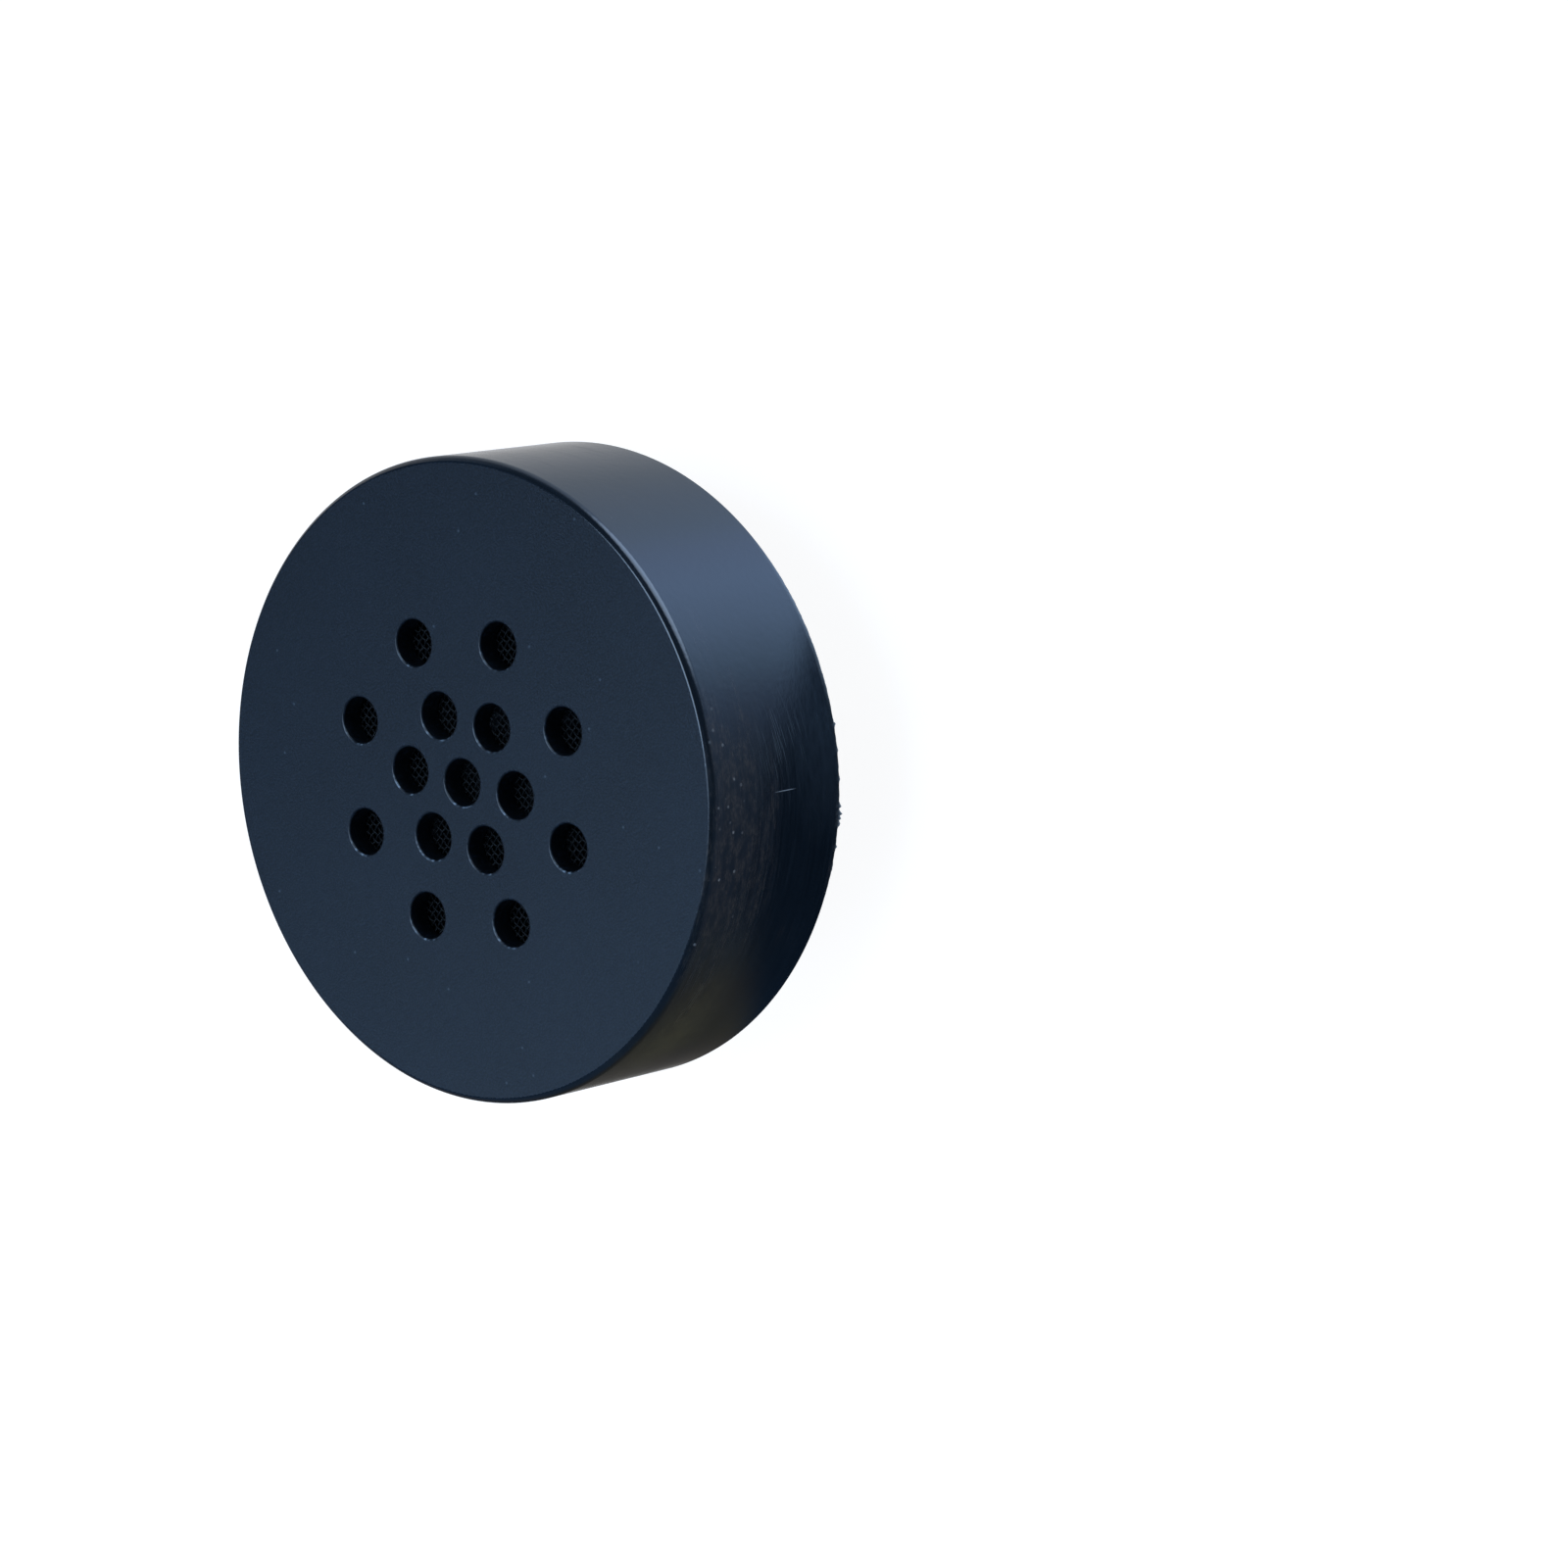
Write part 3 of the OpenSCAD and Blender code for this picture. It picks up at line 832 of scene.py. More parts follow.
def floor_finish(colour, glow):
    """Pale floor that also glows a little, and can be seen through from below."""
    f = Finish("floor_sheet")
    cloud = f.grain(60.0, 2)
    base = f.shades(cloud, colour, 0.985, 1.0)
    top = f.add("BsdfDiffuse", {"Color": base}).outputs[0]
    light = f.add("Emission", {"Color": (1.0, 1.0, 1.0, 1.0), "Strength": glow}).outputs[0]
    lit = f.add("AddShader", {0: top, 1: light}).outputs[0]
    clear = f.add("BsdfTransparent").outputs[0]
    below = f.add("NewGeometry").outputs["Backfacing"]
    mixed = f.add("MixShader", {0: below, 1: lit, 2: clear}).outputs[0]
    f.add("OutputMaterial", {"Surface": mixed})
    return f.data


# ---------------------------------------------------------------- pieces


# Stretch of the rear rim that is torn, in degrees
TORN = (-48.0, 20.0)


def cup_angles():
    """Angles round the cup, closer together where the rear rim is torn."""
    coarse, fine = np.arange(-180.0, 180.0, 1.0), np.arange(*TORN, 0.17)
    kept = coarse[(coarse < fine[0] - 0.5) | (coarse > fine[-1] + 0.5)]
    return np.radians(np.sort(np.concatenate([kept, fine])))


# Groups of torn flash there: (middle and half width in degrees, share of the height)
FLASH = (
    (-6.0, 0.5, 0.2),
    (-13.6, 0.7, 0.4),
    (-18.2, 0.7, 0.4),
    (-23.0, 0.5, 0.25),
    (-29.3, 2.3, 1.0),
    (-35.0, 0.9, 0.35),
    (-39.0, 1.2, 0.2),
)


def torn_flash(angle, burr, rng):
    """How far the rear rim stands out at each angle: a fine ragged edge, and groups of saw
    teeth where the mould's flash was torn, each a random height inside its own hump."""
    deg = np.degrees(angle)
    ragged = smooth_random(rng, deg, np.arange(*TORN, 0.5), 0.0, 0.03)
    ragged *= np.clip((deg - TORN[0] - 2) / 4, 0, 1) * np.clip((TORN[1] - 2 - deg) / 6, 0, 1)
    teeth = smooth_random(rng, deg, np.arange(*TORN, 0.42), 0.0, 1.0) ** 1.4
    hump = sum(h * np.clip(1 - ((deg - at) / half) ** 2, 0, 1) for at, half, h in FLASH)
    return ragged + burr * teeth * hump


def make_housing(sizes, colours):
    """The cup: its rounded wall line turned round the axis, the front plate between the
    holes, and each hole's own rounded line turned round its centre."""
    rng = np.random.default_rng(sizes.seed)
    edge, lip = sizes.edge_round / MM, sizes.lip_round / MM
    plate_r, edge_z = 9.5, FRONT_Z - EDGE_BREAK
    draft = [(REAR_R + (FRONT_R - REAR_R) * z / edge_z, z, 0) for z in (0.14, 0.3, 1.2)]
    wall, wall_normals = rounded(
        [
            (plate_r, FRONT_BACK_Z, 0),
            (UNIT_R, FRONT_BACK_Z, 0.2),
            (UNIT_R, BOARD_HIGH, 0.05),
            (WALL_R, BOARD_HIGH, 0.08),
            (WALL_R, RIM_CHAMFER, 0.12),
            (WALL_R + RIM_CHAMFER, 0, 0.06),
            (REAR_R, 0, 0.09),
            *draft,
            (FRONT_R, edge_z, edge),
            (FRONT_R - EDGE_BREAK, FRONT_Z, FACE_CORNER * edge),
            (plate_r, FRONT_Z, 0),
        ]
    )
    angles = cup_angles()
    points, normals, faces = revolve(wall, wall_normals, angles)
    r, z = np.repeat(wall[:, 0], len(angles)), np.repeat(wall[:, 1], len(angles))
    # The torn flash stands out near the rim's corner, nearly level, and is pale where it does
    near = np.exp(-(((REAR_R - r) / 0.1) ** 2) - (z / 0.12) ** 2)
    out = near * np.tile(torn_flash(angles, sizes.burr / MM, rng), len(wall))
    points += out[:, None] * normals * (1.0, 1.0, 0.15)
    wear_and_glint = np.clip(out / 0.08, 0, 1) * np.exp(-((z / 0.1) ** 2))
    # The corner also gets a painted glint, pale from -12 to 24 degrees, most from -4 to 12
    degrees = np.tile(np.degrees(angles), len(wall))
    painted_glint = np.clip((degrees + 12) / 8, 0, 1) * np.clip((24 - degrees) / 12, 0, 1)
    wear_and_glint = np.maximum(wear_and_glint, 0.6 * painted_glint * near)
    # Finish 0 is the face's, 1 the side's and 2 that of all that lies inside or behind
    middle = z[faces].mean(1)
    inside = (r[faces].mean(1) < WALL_R + RIM_CHAMFER) & (middle < FRONT_Z - 0.01)
    finish = np.where(inside, 2, np.where(middle > FRONT_Z - 0.001, 0, 1))
    parts = [(points, normals, faces[finish == n], n) for n in range(3)]
    outline = polar(plate_r, angles)
    centres, around = hole_centres(), circle_angles(64)
    back = 0.05
    parts.append((*plate(outline, centres, HOLE_R + lip, around, FRONT_Z, 1), 0))
    parts.append((*plate(outline, centres, HOLE_R + back, around, FRONT_BACK_Z, -1), 2))
    bore, bore_normals = rounded(
        [
            (HOLE_R + lip, FRONT_Z, 0),
            (HOLE_R, FRONT_Z, lip * 0.999),
            (HOLE_R, FRONT_BACK_Z, back * 0.999),
            (HOLE_R + back, FRONT_BACK_Z, 0),
        ]
    )
    parts += [(*revolve(bore, bore_normals, around, c), 2) for c in centres]
    # Each lip has random painted glints round 225 degrees, few of them strong
    lip_glints = rng.random((len(centres), len(around))) ** 5
    lip_glints *= np.exp(-((around / np.pi - 1.25) ** 2) / 0.06)
    on_lip = np.exp(-(((bore[:, 1] - FRONT_Z + 0.02) / 0.03) ** 2))
    lip_glint_rows = [np.outer(on_lip, n).ravel() for n in lip_glints]
    plates = np.zeros(sum(len(p[0]) for p in parts[3:5]))
    wear_and_glint = np.concatenate([wear_and_glint, wear_and_glint, wear_and_glint, plates, *lip_glint_rows])
    finishes = [f(colours.plastic) for f in (face_plastic, side_plastic, inner_plastic)]
    add_piece("cup", parts, finishes, ["housing"], wear_and_glint=wear_and_glint)


def make_screen(sizes, colours):
    """The dust screen: flattened threads both ways, each a sine wave that passes over and under
    the others, ends inside a flat glued rim, and is drawn to a point there."""
    pitch, half = sizes.thread_pitch / MM, sizes.thread_width / MM / 2
    middle, thin = (SCREEN_LOW + SCREEN_HIGH) / 2, (SCREEN_HIGH - SCREEN_LOW) / 4
    open_r, samples, sides = 8.25, 165, 4
    count = int(open_r / pitch)
    offset = np.arange(-count, count + 1) * pitch
    reach = np.sqrt(open_r**2 - offset**2)
    u = np.linspace(-1, 1, samples)[None, :] * reach[:, None]
    phase = np.pi * (u / pitch + np.arange(len(offset))[:, None])
    a = circle_angles(sides) + np.pi / 4
    size = np.ones(samples)
    size[[0, -1]] = 0
    parts = []
    for way, sign in ((0.0, 1.0), (np.pi / 2, -1.0)):
        rise = middle + sign * thin * np.sin(phase + np.pi / 2)
        side = offset[:, None, None] + half * size[:, None] * np.cos(a)
        along = np.broadcast_to(u[..., None], side.shape)
        level = rise[..., None] + thin * size[:, None] * np.sin(a)
        turn = sizes.screen_turn + way
        x = along * np.cos(turn) - side * np.sin(turn)
        y = along * np.sin(turn) + side * np.cos(turn)
        points = np.stack([x, y, level], -1).reshape(-1, 3)
        one = grid_triangles(samples, sides)
        faces = (one[None] + np.arange(len(offset))[:, None, None] * samples * sides).reshape(-1, 3)
        parts.append((points, None, faces, 0))
    finishes = [thread(colours.thread)]
    add_piece("screen_mesh", parts, finishes, ["dust_screen"])
    rim_in, soft = open_r - 0.1, 0.03
    ring, ring_normals = rounded(
        [
            (rim_in, middle, 0),
            (rim_in, SCREEN_LOW, soft),
            (RIM_R, SCREEN_LOW, soft),
            (RIM_R, SCREEN_HIGH, soft),
            (rim_in, SCREEN_HIGH, soft),
            (rim_in, middle, 0),
        ]
    )
    parts = [(*revolve(ring, ring_normals, circle_angles(180)), 0)]
    rim = cloth("screen_rim_cloth", colours.thread, pitch, np.degrees(sizes.screen_turn))
    add_piece("screen_rim", parts, [rim], ["dust_screen"])


def film_shell(line):
    """A film of even thickness on a line of (r, z): the line, and the same line lifted."""
    shell = np.concatenate([line, line[::-1] + (0, FILM)])
    if line[0, 0] > 0:
        shell = np.concatenate([shell, line[:1]])
    return lathe(shell, 144)


def make_diaphragm():
    """The film: a dome that rides with the coil, z = neck + h (1 - (r / R)^2), and a ribbed cone
    and rolled surround, z = film + 4 h t (1 - t), that run from the coil to the clamped edge."""
    neck, finish = COIL_HIGH, film()
    film_z = neck + CONE_H
    r = np.linspace(0, COIL_IN, 24)
    dome = np.stack([r, neck + DOME_H * (1 - (r / COIL_IN) ** 2)], -1)
    dome = np.concatenate([dome, [(COIL_OUT, neck)]])
    add_piece("dome", [film_shell(dome)], [finish], ["diaphragm"], "moving_coil")
    t = np.linspace(0, 1, 28)
    cone = np.stack([COIL_OUT + (ROLL_IN - COIL_OUT) * t, neck + CONE_H * t], -1)
    rib_h, ribs = 0.03, 3
    cone[:, 1] += rib_h * np.sin(t * 2 * ribs * np.pi) * np.sin(t * np.pi)
    roll = np.stack([ROLL_IN + (ROLL_OUT - ROLL_IN) * t, film_z + ROLL_H * 4 * t * (1 - t)], -1)
    line = np.concatenate([cone, roll[1:], [(RIM_R, film_z)]])
    bend = ((0.0, 0.0, film_z * MM), (0.0, 0.0, neck * MM))
    add_piece("surround", [film_shell(line)], [finish], ["diaphragm"], bend=bend)


def make_coil():
    """The voice coil: a ring whose sides swell at each turn, r = edge + w (|sin| - 1). Each lead
    runs level from the coil, turns down through the basket's slot, and turns out again."""
    turns, wire_depth = 22, 0.012
    t = np.linspace(0, 1, turns * 6 + 1)
    z = COIL_LOW + (COIL_HIGH - COIL_LOW) * t
    swell = wire_depth * (np.abs(np.sin(np.pi * turns * t)) - 1)
    outer, inner = (np.stack([r, z], -1) for r in (COIL_OUT + swell, COIL_IN - swell))
    line = np.concatenate([outer, inner[::-1], outer[:1]])
    part = lathe(line, 128)
    add_piece("winding", [part], [winding()], ["voice_coil"], "moving_coil")
    copper = steel("lead_copper", (0.72, 0.36, 0.2), 0.25)
    slot, over_r, under_r = -7.2, 0.7, 0.35
    turn = np.radians(np.linspace(0, 90, 9))
    sin, cos = np.sin(turn), np.cos(turn)
    for name, x in (("plus", LEAD_X), ("minus", -LEAD_X)):
        (_, far, bottom), (_, near, top) = span("coil_lead_" + name)
        top, bottom = top - LEAD_R, bottom + LEAD_R
        over = np.stack([slot + over_r - over_r * sin, top - over_r + over_r * cos], -1)
        under = np.stack([slot - under_r + under_r * cos, bottom + under_r - under_r * sin], -1)
        run = np.concatenate([[(near, top)], over, under, [(far, bottom)]])
        path = np.column_stack([np.full(len(run), x), run])
        steps = np.concatenate([[0], np.cumsum(np.linalg.norm(np.diff(path, axis=0), axis=1))])
        at = np.linspace(0, steps[-1], 90)
        path = np.column_stack([np.interp(at, steps, path[:, k]) for k in range(3)])
        bend = ((x * MM, slot * MM, bottom * MM), (x * MM, near * MM, top * MM))
        tube = carry(path, LEAD_R)
        add_piece("lead_" + name, [tube], [copper], ["coil_lead_" + name], bend=bend)


def make_pins(sizes, colours):
    """Each pin turned from its rounded line, with a sheared end, and its solder: a hollow curve
    from the board to the pin, r = pin + (foot - pin)(1 - t)^1.9, with a low bulge by the board,
    turned round the pin, its radius and height changed a little with the angle."""
    rng = np.random.default_rng(sizes.seed + 1)
    metals = [tin(colours.tin), cut_metal(colours.tin)]
    bright = solder(colours.tin)
    taper, core_r, sunk = 0.1, PIN_R - 0.12, 0.8
    line, normals = rounded(
        [
            (0, PIN_TOP_Z, 0),
            (PIN_R - taper, PIN_TOP_Z, 0.04),
            (PIN_R, SOLDER_LOW + taper, 0.5),
            (PIN_R, PIN_TIP_Z + PIN_CHAMFER, 0.12),
            (PIN_R - PIN_CHAMFER, PIN_TIP_Z, 0.03),
            (0, PIN_TIP_Z, 0),
        ]
    )
    line, normals = line[::-1], -normals[::-1]
    a, t = circle_angles(72), np.linspace(0, 1, 26)[:, None]
    for name, x in (("plus", PIN_X), ("minus", -PIN_X)):
        points, turned, faces = revolve(line, normals, circle_angles(48), (x, 0))
        end = points[faces][:, :, 2].max(1) < PIN_TIP_Z + 0.001
        parts = [(points, turned, faces[~end], 0), (points, turned, faces[end], 1)]
        add_piece("pin_" + name + "_tinned", parts, metals, ["pin_" + name])
        wide, tall = random_waves(rng, a, range(1, 6), 1)
        foot = SOLDER_R * (0.955 + 0.03 * wide)
        height = SOLDER_H * (0.93 + 0.05 * tall)
        bulge = 0.1 * np.sin(np.pi * np.clip(t * 2.2, 0, 1)) * (1 + 0.6 * tall)
        r = PIN_R - 0.02 + (foot - PIN_R) * (1 - t) ** 1.9 + bulge
        z = BOARD_LOW - height * (1 - (1 - t) ** 1.25)
        mound = rows_round(x, r, a, z)
        foot_in = rows_round(x, core_r, a, BOARD_LOW)[None]
        top_in = foot_in - (0, 0, SOLDER_H * sunk)
        part = shell_part(np.concatenate([top_in, foot_in, mound, top_in])[::-1])
        add_piece("joint_" + name, [part], [bright], ["pin_solder_" + name])


def make_sealant(sizes):
    """The glue fillet: a hollow arc from the board up the wall, r = foot + out sin t and
    z = board - drop (1 - cos t), whose foot and top wander."""
    rng = np.random.default_rng(sizes.seed + 2)
    a, t = circle_angles(240), np.linspace(0, np.pi / 2, 14)[:, None]
    foot_wave, top_wave = random_waves(rng, a, range(2, 14), 0.5)
    foot = SEALANT_FOOT_R + 0.1 + 0.07 * foot_wave
    top = SEALANT_LOW + 0.08 + 0.05 * top_wave
    out, drop = WALL_R - foot, BOARD_LOW - SEALANT_FOOT - top
    r = foot + out * np.sin(t)
    z = BOARD_LOW - SEALANT_FOOT - drop * (1 - np.cos(t))
    wall, board = np.full_like(foot, WALL_R), np.full_like(foot, BOARD_LOW)
    rows_r = np.concatenate([[foot], r, [wall], [foot]])
    rows_z = np.concatenate([[board], z, [board], [board]])
    part = shell_part(rows_round(0.0, rows_r, a, rows_z))
    finishes = [resin((0.004, 0.0055, 0.0075))]
    add_piece("sealant_fillet", [part], finishes, ["edge_sealant"])


def stroke_reach(angle):
    """Distance from the middle of a round-ended stroke to its edge at each angle: the flat side's
    half width over |sin|, or the round end's circle where that is nearer the end."""
    run = MARK_HALF - MARK_HALF_W
    cos, sin = np.abs(np.cos(angle)), np.abs(np.sin(angle))
    side = MARK_HALF_W / np.maximum(sin, 1e-9)
    end = run * cos + np.sqrt(np.maximum(MARK_HALF_W**2 - (run * sin) ** 2, 0))
    return np.where(side * cos <= run, side, end)


def make_marks(sizes, colours):
    """The printed marks: a low cushion of ink on the board inside each mark's outline, which is
    the greatest reach of its strokes at each angle, made ragged by small random steps. Its rows
    lie at a share of that reach and at a level between the board and the ink's top."""
    rng = np.random.default_rng(sizes.seed + 3)
    a, step, chalk = circle_angles(900), 0.02, ink(colours.ink)
    share = np.array([0.0, 1.0, 1.0, 0.985, 0.93, 0.8, 0.5, 0.0])[:, None]
    level = np.array([0.0, 0.0, 0.45, 0.8, 1.0, 0.9, 0.92, 0.95])[:, None]
    z = BOARD_LOW - (BOARD_LOW - MARK_LOW) * level
    straight, crossed = stroke_reach(a), stroke_reach(a + np.pi / 2)
    shapes = (("plus", MARK_X, np.maximum(straight, crossed)), ("minus", -MARK_X, straight))
    for name, x, reach in shapes:
        rough = smooth_random(rng, a, np.linspace(0, 2 * np.pi, 170), -1, 1)
        rough += 0.5 * smooth_random(rng, a, np.linspace(0, 2 * np.pi, 420), -1, 1)
        reach = reach + step * rough - step
        part = shell_part(rows_round(x, share * reach, a, z), flip=True)
        add_piece("ink_" + name, [part], [chalk], [name + "_mark"])


def finish_nodes(colours):
    """Gives each frame node that stays visible its own finish."""
    finishes = {
        "front_gasket": card("gasket_felt", (0.03, 0.03, 0.032), 0.12, 0.04),
        "clamp_ring": card("clamp_card", (0.36, 0.25, 0.13)),
        "basket": steel("basket_zinc", (0.62, 0.62, 0.6), 0.34, rolled=15),
        "vent_cloth": cloth("vent_cloth", (0.02, 0.02, 0.021), 0.25, 10),
        "yoke": steel("yoke_steel", (0.56, 0.57, 0.59), 0.3, turned=0.12),
        "magnet": steel("magnet_nickel", (0.72, 0.71, 0.69), 0.16, turned=0.3),
        "top_plate": steel("plate_steel", (0.58, 0.59, 0.61), 0.26, turned=0.1),
        "terminal_board": card("terminal_fibre", (0.3, 0.16, 0.07), 0.1, 0.01),
        "lead_wire_plus": insulation("wire_red", (0.5, 0.03, 0.022)),
        "lead_wire_minus": insulation("wire_black", (0.02, 0.02, 0.021)),
        "rear_board": lacquer(colours.board),
    }
    inner = solder(colours.tin)
    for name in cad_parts:
        if name.startswith(("terminal_solder", "inner_solder")):
            finishes[name] = inner
    for name, finish in finishes.items():
        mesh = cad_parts[name].data
        mesh.materials.clear()
        mesh.materials.append(finish)


# ---------------------------------------------------------------- stage

CAMERA_AT = (0.12559303604, -0.02747716194, 0.14134080233)
CAMERA_AXES = (
    (0.70477882, 0.33411387, 0.62582324),
    (-0.33452611, 0.93443714, -0.12214549),
    (-0.62560298, -0.12326866, 0.77034132),
)

# What the room shows low down, all the way round: (direction in degrees, colour).
# The first and the last meet at -X, with a step from grey to white between them.
ROOM_ROUND = (
    (-180, (0.5, 0.51, 0.52)),
    (-174, (0.17, 0.165, 0.155)),
    (-168, (0.11, 0.105, 0.1)),
    (-154, (0.08, 0.076, 0.068)),
    (-139, (0.08, 0.079, 0.06)),
    (-109, (0.105, 0.105, 0.095)),
    (-89, (0.13, 0.165, 0.19)),
    (-67, (0.13, 0.18, 0.29)),
    (-51, (0.14, 0.2, 0.33)),
    (-35, (0.2, 0.29, 0.46)),
    (-21, (0.25, 0.37, 0.57)),
    (-9, (0.3, 0.45, 0.76)),
    (1, (0.45, 0.68, 1.12)),
    (11, (0.68, 1.08, 1.7)),
    (27, (1.0, 1.52, 2.45)),
    (43, (1.08, 1.62, 2.65)),
    (57, (0.92, 1.32, 2.15)),
    (71, (0.72, 0.99, 1.42)),
    (85, (0.6, 0.77, 1.05)),
    (101, (0.52, 0.62, 0.76)),
    (117, (0.54, 0.59, 0.67)),
    (140, (0.56, 0.57, 0.59)),
    (160, (0.9, 0.92, 0.95)),
    (180, (1.0, 1.0, 1.0)),
)
ROOM_SKY = (0.075, 0.13, 0.21)

# Softly bright patches: (direction, cosine where it starts, cosine where it is full, colour)
ROOM_PATCHES = (
    ((-0.75, -0.2, 0.65), 0.3, 0.95, (0.01, 0.035, 0.1)),
    ((-0.05, 0.19, 0.98), 0.925, 0.98, (3.4, 5.0, 7.4)),
    ((0.8, 0.59, -0.09), 0.84, 0.95, (2.7, 3.6, 4.9)),
)

# The shade under the speaker, as its own side reflects it: middle, radius and colour
SHADE_AT, SHADE_R, SHADE_COLOUR = (8.7, -6.9), 14.1, (0.012, 0.03, 0.065)


def make_room(strength):
    """Soft light from all round: a white backdrop for the camera, and for everything else a
    ring of colours low down, a plain sky above it, and one smooth patch for each in the list."""
    f = Finish("room", bpy.data.worlds)
    bpy.context.scene.world = f.data
    way = f.coordinates["Generated"]
    round_it = f.sum(f.axis(1, way), f.axis(0, way), "ARCTAN2")
    ring = f.add("ValToRGB", {0: f.remap(round_it, -np.pi, np.pi)})
    stops = ring.color_ramp.elements
    for end in (0, -1):
        stops[end].color = (*ROOM_ROUND[end][1], 1.0)
    for degrees, colour in ROOM_ROUND[1:-1]:
        stops.new((degrees + 180) / 360).color = (*colour, 1.0)
    above = f.remap(f.axis(2, way), -0.25, 0.3, soft=True)
    colour = f.tint(above, ring.outputs[0], ROOM_SKY)
    for direction, low, high, patch in ROOM_PATCHES:
        axis = tuple(Vector(direction).normalized())
        along = f.add("VectorMath", {0: way, 1: axis}, operation="DOT_PRODUCT").outputs["Value"]
        share = f.remap(along, low, high, soft=True)
        colour = f.tint(share, colour, patch, "ADD")
    lit = f.add("Background", {"Color": colour, "Strength": strength}).outputs[0]
    plain = f.add("Background", {"Color": (1.0, 1.0, 1.0, 1.0), "Strength": 1.0}).outputs[0]
    seen = f.add("LightPath").outputs["Is Camera Ray"]
    both = f.add("MixShader", {0: seen, 1: lit, 2: plain}).outputs[0]
    f.add("OutputWorld", {"Surface": both})


def make_shade():
    """A dark round card level with the floor, which only reflections show: rings of points from
    its middle out, and a finish that fades away at its edge."""
    f = Finish("shade_card")
    fade = f.falloff((*SHADE_AT, CAD_BOX[0][2] / MM), (SHADE_R * 1.1,) * 3, edge=0.88)
    dark = f.add("Emission", {"Color": (*SHADE_COLOUR, 1.0)}).outputs[0]
    clear = f.add("BsdfTransparent").outputs[0]
    mixed = f.add("MixShader", {0: fade, 1: clear, 2: dark}).outputs[0]
    f.add("OutputMaterial", {"Surface": mixed})
    r = np.array([0.0, SHADE_R * 1.15])
    line = np.stack([r, np.full(2, CAD_BOX[0][2] / MM - 0.05)], -1)
    points, _, faces = revolve(line, line, circle_angles(64), SHADE_AT)
    card = link_mesh("shade", points, faces[len(faces) // 2 :], [f.data])
    card.visible_camera = card.visible_diffuse = card.visible_shadow = False
    card.visible_transmission = card.visible_volume_scatter = False


def make_floor(stage):
    """A level sheet under the pins' tips, much wider than any view of the speaker."""
    half, z = 3000.0, CAD_BOX[0][2] / MM
    corners = np.array([(-half, -half, z), (half, -half, z), (half, half, z), (-half, half, z)])
    finish = floor_finish(stage.floor, stage.floor_glow)
    floor = link_mesh("floor", corners, np.array([(0, 1, 2, 3)]), [finish])
    floor.visible_glossy = False


def make_lamps(stage):
    """One wide soft lamp high above, and a small soft panel close over the near edge."""
    for name, kind, power, way in (
        ("lamp", "SUN", stage.lamp, (0.17, 0.24, 0.955)),
        ("panel", "AREA", stage.panel, (-25.0, -45.0, 48.0)),
    ):
        light = bpy.data.lights.new(name, kind)
        light.energy = power
        light.color = (0.72, 0.86, 1.0)
        if kind == "SUN":
            light.angle = np.radians(36)
        else:
            light.size = 0.04
        lamp = link(name, light)
        lamp.location = Vector(way) * MM
        lamp.rotation_euler = Vector(way).to_track_quat("Z", "Y").to_euler()
        lamp.visible_camera = False
        lamp.visible_glossy = kind == "SUN"


def make_camera(stage):
    """The camera, at its fitted place and angles."""
    data = bpy.data.cameras.new("camera")
    data.lens = stage.lens
    data.sensor_width = 36.0
    data.clip_start, data.clip_end = 0.001, 100.0
    camera = link("camera", data)
    camera.matrix_world = Matrix.Translation(CAMERA_AT) @ Matrix(CAMERA_AXES).to_4x4()
    bpy.context.scene.camera = camera


# ---------------------------------------------------------------- operators


class SPEAKER_OT_stage(bpy.types.Operator):
    """Builds the floor, the lights and the camera"""

    bl_idname = "speaker.stage"
    bl_label = "Stage"

    def execute(self, context):
        stage = context.scene.speaker_stage
        context.scene.view_settings.view_transform = "Standard"
        make_camera(stage)
        make_floor(stage)
        make_lamps(stage)
        make_room(stage.room)
        make_shade()
        return {"FINISHED"}


class SPEAKER_OT_cup(bpy.types.Operator):
    """Builds the moulded cup with its sound holes"""

    bl_idname = "speaker.cup"
    bl_label = "Cup"

    def execute(self, context):
        make_housing(context.scene.speaker_sizes, context.scene.speaker_colours)
        return {"FINISHED"}


class SPEAKER_OT_screen(bpy.types.Operator):
    """Weaves the dust screen behind the sound holes"""

    bl_idname = "speaker.screen"
    bl_label = "Dust Screen"

    def execute(self, context):
        make_screen(context.scene.speaker_sizes, context.scene.speaker_colours)
        return {"FINISHED"}


class SPEAKER_OT_drive(bpy.types.Operator):
    """Builds the diaphragm, the voice coil and its leads"""

    bl_idname = "speaker.drive"
    bl_label = "Diaphragm and Coil"

    def execute(self, context):
        make_diaphragm()
        make_coil()
        return {"FINISHED"}


class SPEAKER_OT_pins(bpy.types.Operator):
    """Builds the tinned pins and their solder"""

    bl_idname = "speaker.pins"
    bl_label = "Pins and Solder"

    def execute(self, context):
        make_pins(context.scene.speaker_sizes, context.scene.speaker_colours)
        return {"FINISHED"}


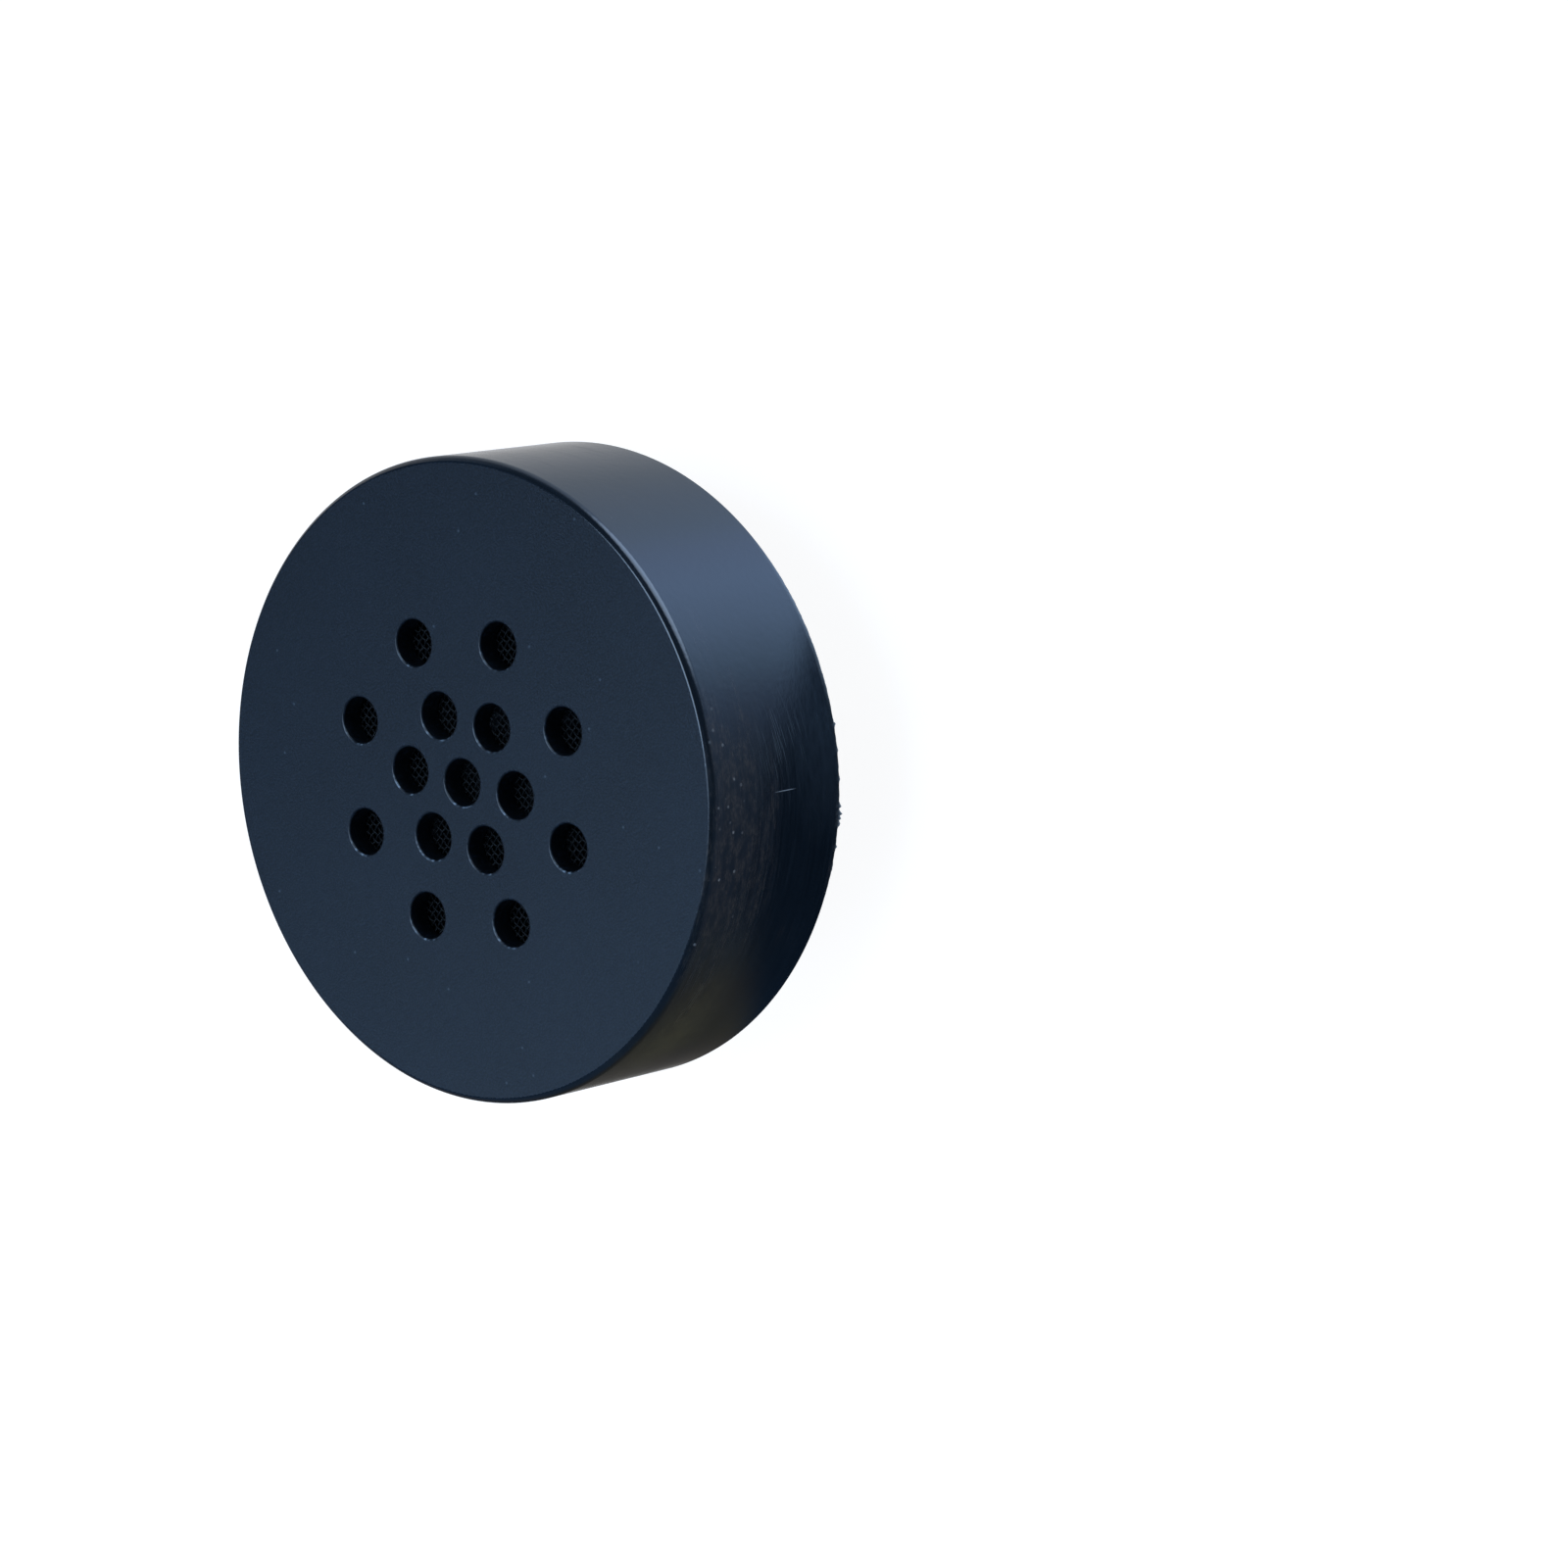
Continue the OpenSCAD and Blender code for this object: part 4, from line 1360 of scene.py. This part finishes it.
class SPEAKER_OT_sealant(bpy.types.Operator):
    """Runs the sealant round the rear board"""

    bl_idname = "speaker.sealant"
    bl_label = "Sealant"

    def execute(self, context):
        make_sealant(context.scene.speaker_sizes)
        return {"FINISHED"}


class SPEAKER_OT_marks(bpy.types.Operator):
    """Prints the plus and minus marks"""

    bl_idname = "speaker.marks"
    bl_label = "Marks"

    def execute(self, context):
        make_marks(context.scene.speaker_sizes, context.scene.speaker_colours)
        return {"FINISHED"}


class SPEAKER_OT_finishes(bpy.types.Operator):
    """Gives the frame's own pieces their finishes"""

    bl_idname = "speaker.finishes"
    bl_label = "Other Finishes"

    def execute(self, context):
        finish_nodes(context.scene.speaker_colours)
        return {"FINISHED"}


STEPS = (
    SPEAKER_OT_stage,
    SPEAKER_OT_cup,
    SPEAKER_OT_screen,
    SPEAKER_OT_drive,
    SPEAKER_OT_pins,
    SPEAKER_OT_sealant,
    SPEAKER_OT_marks,
    SPEAKER_OT_finishes,
)


class SPEAKER_PT_panel(bpy.types.Panel):
    """Lists the settings and the pieces in the sidebar"""

    bl_label = "Miniature Speaker"
    bl_space_type = "VIEW_3D"
    bl_region_type = "UI"
    bl_category = "Speaker"

    def draw(self, context):
        for group in GROUPS:
            box = self.layout.box()
            for name in GROUPS[group].__annotations__:
                box.prop(getattr(context.scene, group), name)
        for step in STEPS:
            self.layout.operator(step.bl_idname)


GROUPS = {
    "speaker_sizes": SpeakerSizes,
    "speaker_colours": SpeakerColours,
    "speaker_stage": SpeakerStage,
}
CLASSES = (*GROUPS.values(), *STEPS, SPEAKER_PT_panel)


def register():
    for cls in CLASSES:
        bpy.utils.register_class(cls)
    for name, group in GROUPS.items():
        setattr(bpy.types.Scene, name, PointerProperty(type=group))


def unregister():
    for name in GROUPS:
        delattr(bpy.types.Scene, name)
    for cls in reversed(CLASSES):
        bpy.utils.unregister_class(cls)


def main():
    register()
    bpy.ops.speaker.stage()
    bpy.ops.speaker.cup()
    bpy.ops.speaker.screen()
    bpy.ops.speaker.drive()
    bpy.ops.speaker.pins()
    bpy.ops.speaker.sealant()
    bpy.ops.speaker.marks()
    bpy.ops.speaker.finishes()


if __name__ == "__main__":
    main()
